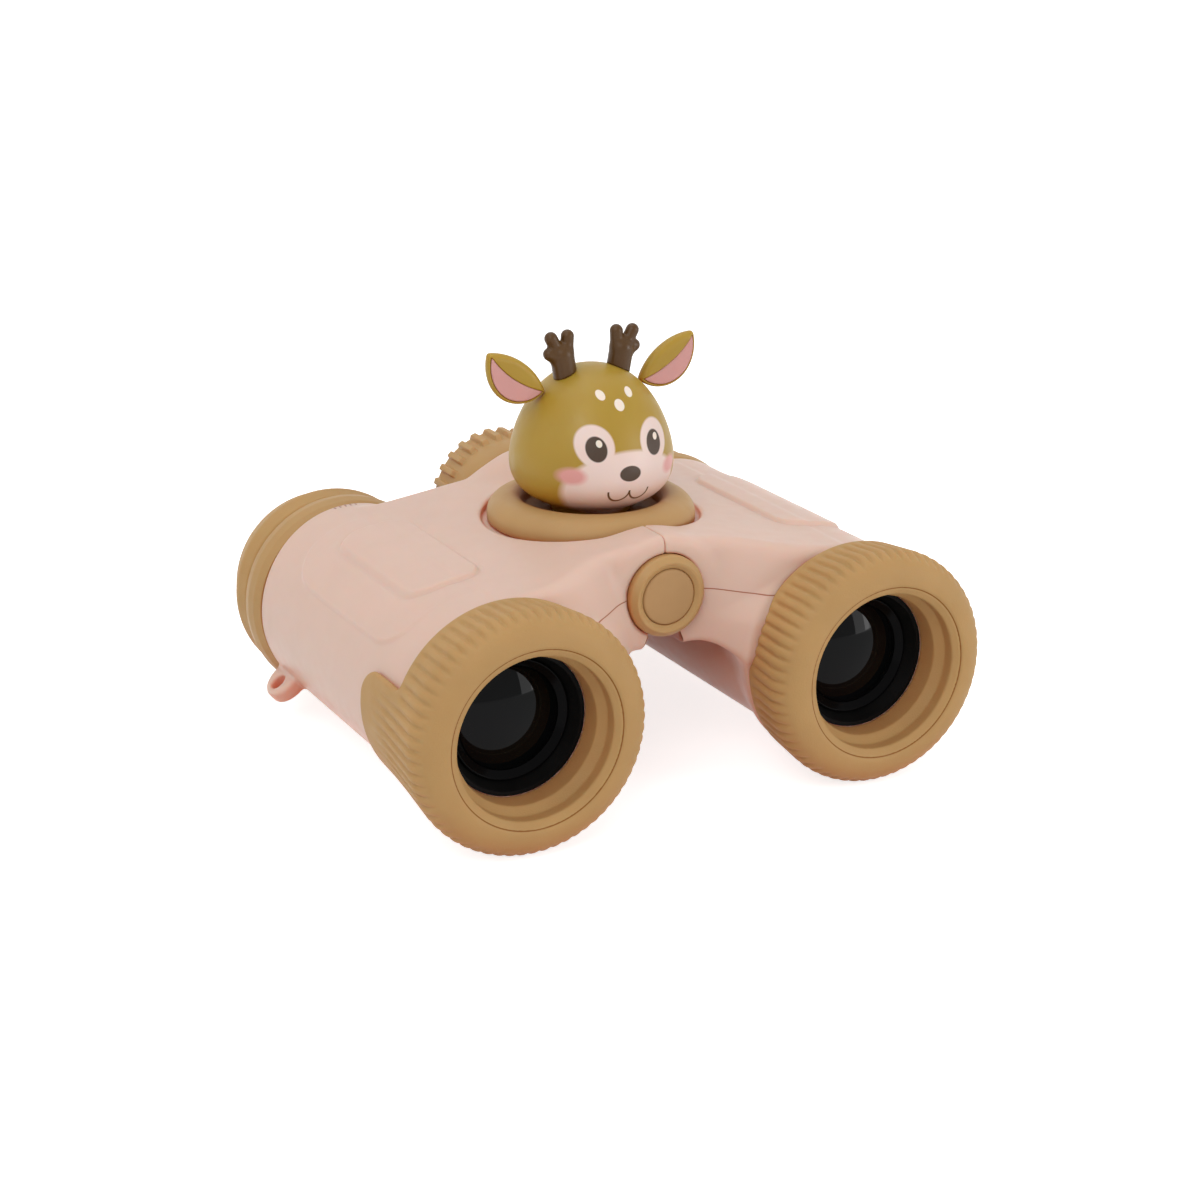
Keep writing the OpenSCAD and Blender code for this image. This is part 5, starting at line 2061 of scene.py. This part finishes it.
    def lining(self, p: Array) -> Array:
        """Field of the rose lining in an ear's hollow.

        Args:
            p: Points to measure.

        Returns:
            Distances.
        """
        u, v, w = self.ear_frame(p)
        leaf = self.leaf(u, v, self.lining_inset + self.lining_gap)
        return self.beside(meet(leaf, slab(w, *self.lining_w), self.lining_round), p)

    def antler(self, p: Array) -> Array:
        """Field of an antler: a stout palm, two prongs and a low outer knob, run together softly.

        Args:
            p: Points to measure.

        Returns:
            Distances.
        """
        y = LAYOUT.post_y
        out = np.full(len(p), FAR)
        for limb in ANTLER_LIMBS:
            tine = capsule(p, (limb.x0, y, limb.z0), (limb.x1, y, limb.z1), limb.r)
            out = join(out, tine, self.antler_soft)
        return self.beside(out, p)

    def pair(self, node: str, shape: Field, box: Box, finish: Finish) -> None:
        """Makes one object of a piece and its mirror image.

        Args:
            node: Node that the pair stands for.
            shape: Field of the piece at positive X.
            box: Box that holds it.
            finish: Finish of the pair.
        """
        low, high = np.array(box) + np.array([0.0, LAYOUT.post_y, LAYOUT.head_z])
        verts, quads = skin(shape, low, high, self.step)
        both = np.vstack([verts, Side.RIGHT.turned(verts)])
        faces = np.vstack([quads, quads[:, ::-1] + len(verts)])
        Piece(mesh_piece(f"fawn_{node}", both, faces), "turntable", (node,)).settle(finish)

    def profile(self) -> list[Point]:
        """Section of the hollow head and its neck.

        Returns:
            Points (radius, height), from the hollow's top round the neck to the crown.
        """
        top, span = self.height, self.height - self.low
        steps = range(1, self.head_steps)
        heights = [self.low + span * (1.0 - math.cos(math.pi * i / self.head_steps)) / 2.0 for i in steps]
        shown = [z for z in heights if z > self.mid or self.radius_at(z) > self.neck_r + self.neck_gap]
        outside = [(self.radius_at(z), z) for z in shown] + [(0.0, top)]
        bore = self.neck_r - self.wall
        neck = [(bore, 0.0), (self.neck_r, 0.0), (self.neck_r, shown[0])]
        inner = [(self.radius_at(z) - self.wall, z - self.wall * (z - self.low) / span)
                 for z in shown[-self.hollow_stride:self.hollow_from:-self.hollow_stride]]
        return [(0.0, top - self.wall)] + inner + [(bore, self.low + self.wall)] + neck + outside

    def build(self) -> None:
        """Makes the head, ears, linings and antlers."""
        turn_upright("fawn_head", self.profile(), FACE, "head_shell", LAYOUT.head_z)
        self.pair("ears", self.ear, self.ear_box, OCHRE)
        self.pair("ear_linings", self.lining, self.lining_box, ROSE)
        self.pair("antlers", self.antler, self.antler_box, BROWN)


@dataclass
class InnerWorks:
    """The nodes that keep their CAD shape, dressed by their slots."""

    nodes: dict[str, bpy.types.Object]
    slots: dict[str, str]

    def build(self) -> None:
        """Dresses each node that no finer piece stands for."""
        for name, item in self.nodes.items():
            if item.hide_render:
                continue
            finish = FINISH_OF_SLOT[self.slots[name]]
            finish.paint(item)
            LOG.info("%s: kept from the frame, %s", name, finish.name)


# Stage


@dataclass(frozen=True)
class Lamp:
    """A soft rectangular lamp aimed at the object: place and size in metres, power in watts."""

    name: str
    place: Corner
    size: Span
    watts: float
    aim: Corner = (0.0, 0.0, 0.03)

    def build(self) -> None:
        """Hangs the lamp."""
        data = bpy.data.lights.new(self.name, "AREA")
        data.shape = "RECTANGLE"
        data.size, data.size_y = self.size
        data.energy = self.watts
        item = bpy.data.objects.new(self.name, data)
        item.location = self.place
        way = Vector(self.aim) - Vector(self.place)
        item.rotation_euler = way.to_track_quat("-Z", "Y").to_euler()
        bpy.context.collection.objects.link(item)


LAMPS = (
    Lamp("key", (0.82, -0.74, 0.17), (0.26, 0.32), 1.5),
    Lamp("front", (0.68, -0.86, 0.22), (0.3, 0.6), 1.8),
    Lamp("fill", (-0.65, -0.6, 0.8), (0.6, 0.6), 3.5),
    Lamp("side", (-0.95, 0.1, 0.4), (0.5, 0.5), 0.4),
    Lamp("top", (-0.1, 0.15, 1.0), (0.8, 0.8), 2.6),
)
WHITE = (1.0, 1.0, 1.0, 1.0)


def seen_rays(nodes: bpy.types.Nodes, links: bpy.types.NodeLinks) -> Socket:
    """Adds nodes that give 1 for rays from the camera, in reflections or through glass.

    Args:
        nodes: Nodes of the material or world.
        links: Links of the same tree.

    Returns:
        The socket that gives 1 or 0.
    """
    path = nodes.new("ShaderNodeLightPath")
    total: Socket = path.outputs["Is Camera Ray"]
    for name in ("Is Glossy Ray", "Is Transmission Ray"):
        both = nodes.new("ShaderNodeMath")
        both.operation = "MAXIMUM"
        links.new(total, both.inputs[0])
        links.new(path.outputs[name], both.inputs[1])
        total = both.outputs[0]
    return total


@dataclass
class Studio:
    """Pale floor, soft lamps, bright surround and the camera, in metres."""

    camera_at: Corner = (-0.1917, -0.3626, 0.1667)
    camera_aim: Corner = (0.4470, 0.8324, -0.3275)
    camera_roll: float = 0.44
    camera_near: float = 0.01
    lens_mm: float = 72.83
    sensor_mm: float = 36.0
    floor_w: float = 6.0
    floor_drop: float = 0.0002
    floor_tone: float = 0.82
    floor_glow: float = 0.76
    floor_roughness: float = 0.9
    surround: float = 0.5

    def camera(self) -> None:
        """Camera at the photograph's place."""
        data = bpy.data.cameras.new("photo_camera")
        data.lens = self.lens_mm
        data.sensor_width = self.sensor_mm
        data.clip_start = self.camera_near
        item = bpy.data.objects.new("photo_camera", data)
        item.location = self.camera_at
        turn = Vector(self.camera_aim).to_track_quat("-Z", "Y")
        roll = Quaternion((0.0, 0.0, 1.0), math.radians(self.camera_roll))
        item.rotation_euler = (turn @ roll).to_euler()
        bpy.context.collection.objects.link(item)
        bpy.context.scene.camera = item

    def floor(self) -> None:
        """White floor that keeps a soft shadow, and looks white where it is lit."""
        half = self.floor_w / 2.0
        corners = [(-half, -half, 0.0), (half, -half, 0.0), (half, half, 0.0), (-half, half, 0.0)]
        mesh = bpy.data.meshes.new("floor")
        mesh.from_pydata(corners, [], [(0, 1, 2, 3)])
        item = bpy.data.objects.new("floor", mesh)
        item.location.z = -self.floor_drop
        bpy.context.collection.objects.link(item)
        paper = Graph("floor_paper")
        paper.set("Base Color", (self.floor_tone,) * 3 + (1.0,))
        paper.set("Roughness", self.floor_roughness)
        paper.set("Specular IOR Level", 0.0)
        paper.set("Emission Color", WHITE)
        seen = seen_rays(paper.nodes, paper.links)
        paper.set("Emission Strength", paper.math("MULTIPLY", seen, self.floor_glow))
        mesh.materials.append(paper.material)

    def world(self) -> None:
        """Surround that looks white to the camera and in reflections, and lights softly."""
        world = bpy.data.worlds.new("surround")
        bpy.context.scene.world = world
        world.use_nodes = True
        nodes, links = world.node_tree.nodes, world.node_tree.links
        back = nodes["Background"]
        back.inputs["Color"].default_value = WHITE
        level = nodes.new("ShaderNodeMapRange")
        level.inputs["To Min"].default_value = self.surround
        level.inputs["To Max"].default_value = 1.0
        links.new(seen_rays(nodes, links), level.inputs["Value"])
        links.new(level.outputs["Result"], back.inputs["Strength"])

    def build(self) -> None:
        """Sets up the whole stage."""
        self.camera()
        self.floor()
        self.world()
        for lamp in LAMPS:
            lamp.build()
        bpy.context.scene.view_settings.view_transform = "Standard"


def main() -> None:
    """Builds every sub-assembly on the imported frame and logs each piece."""
    logging.basicConfig(level=logging.INFO, format="%(message)s")
    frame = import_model()
    Studio().build()
    HalfShells().build()
    ObjectiveRings().build()
    Eyepieces().build()
    ObjectiveLenses().build()
    HingeCap().build()
    FocusWheel().build()
    Turntable().build()
    FawnHead().build()
    slots = {part["node"]: part["material_slot"] for part in frame["record"]["subparts"]}
    InnerWorks(frame["nodes"], slots).build()


if __name__ == "__main__":
    main()
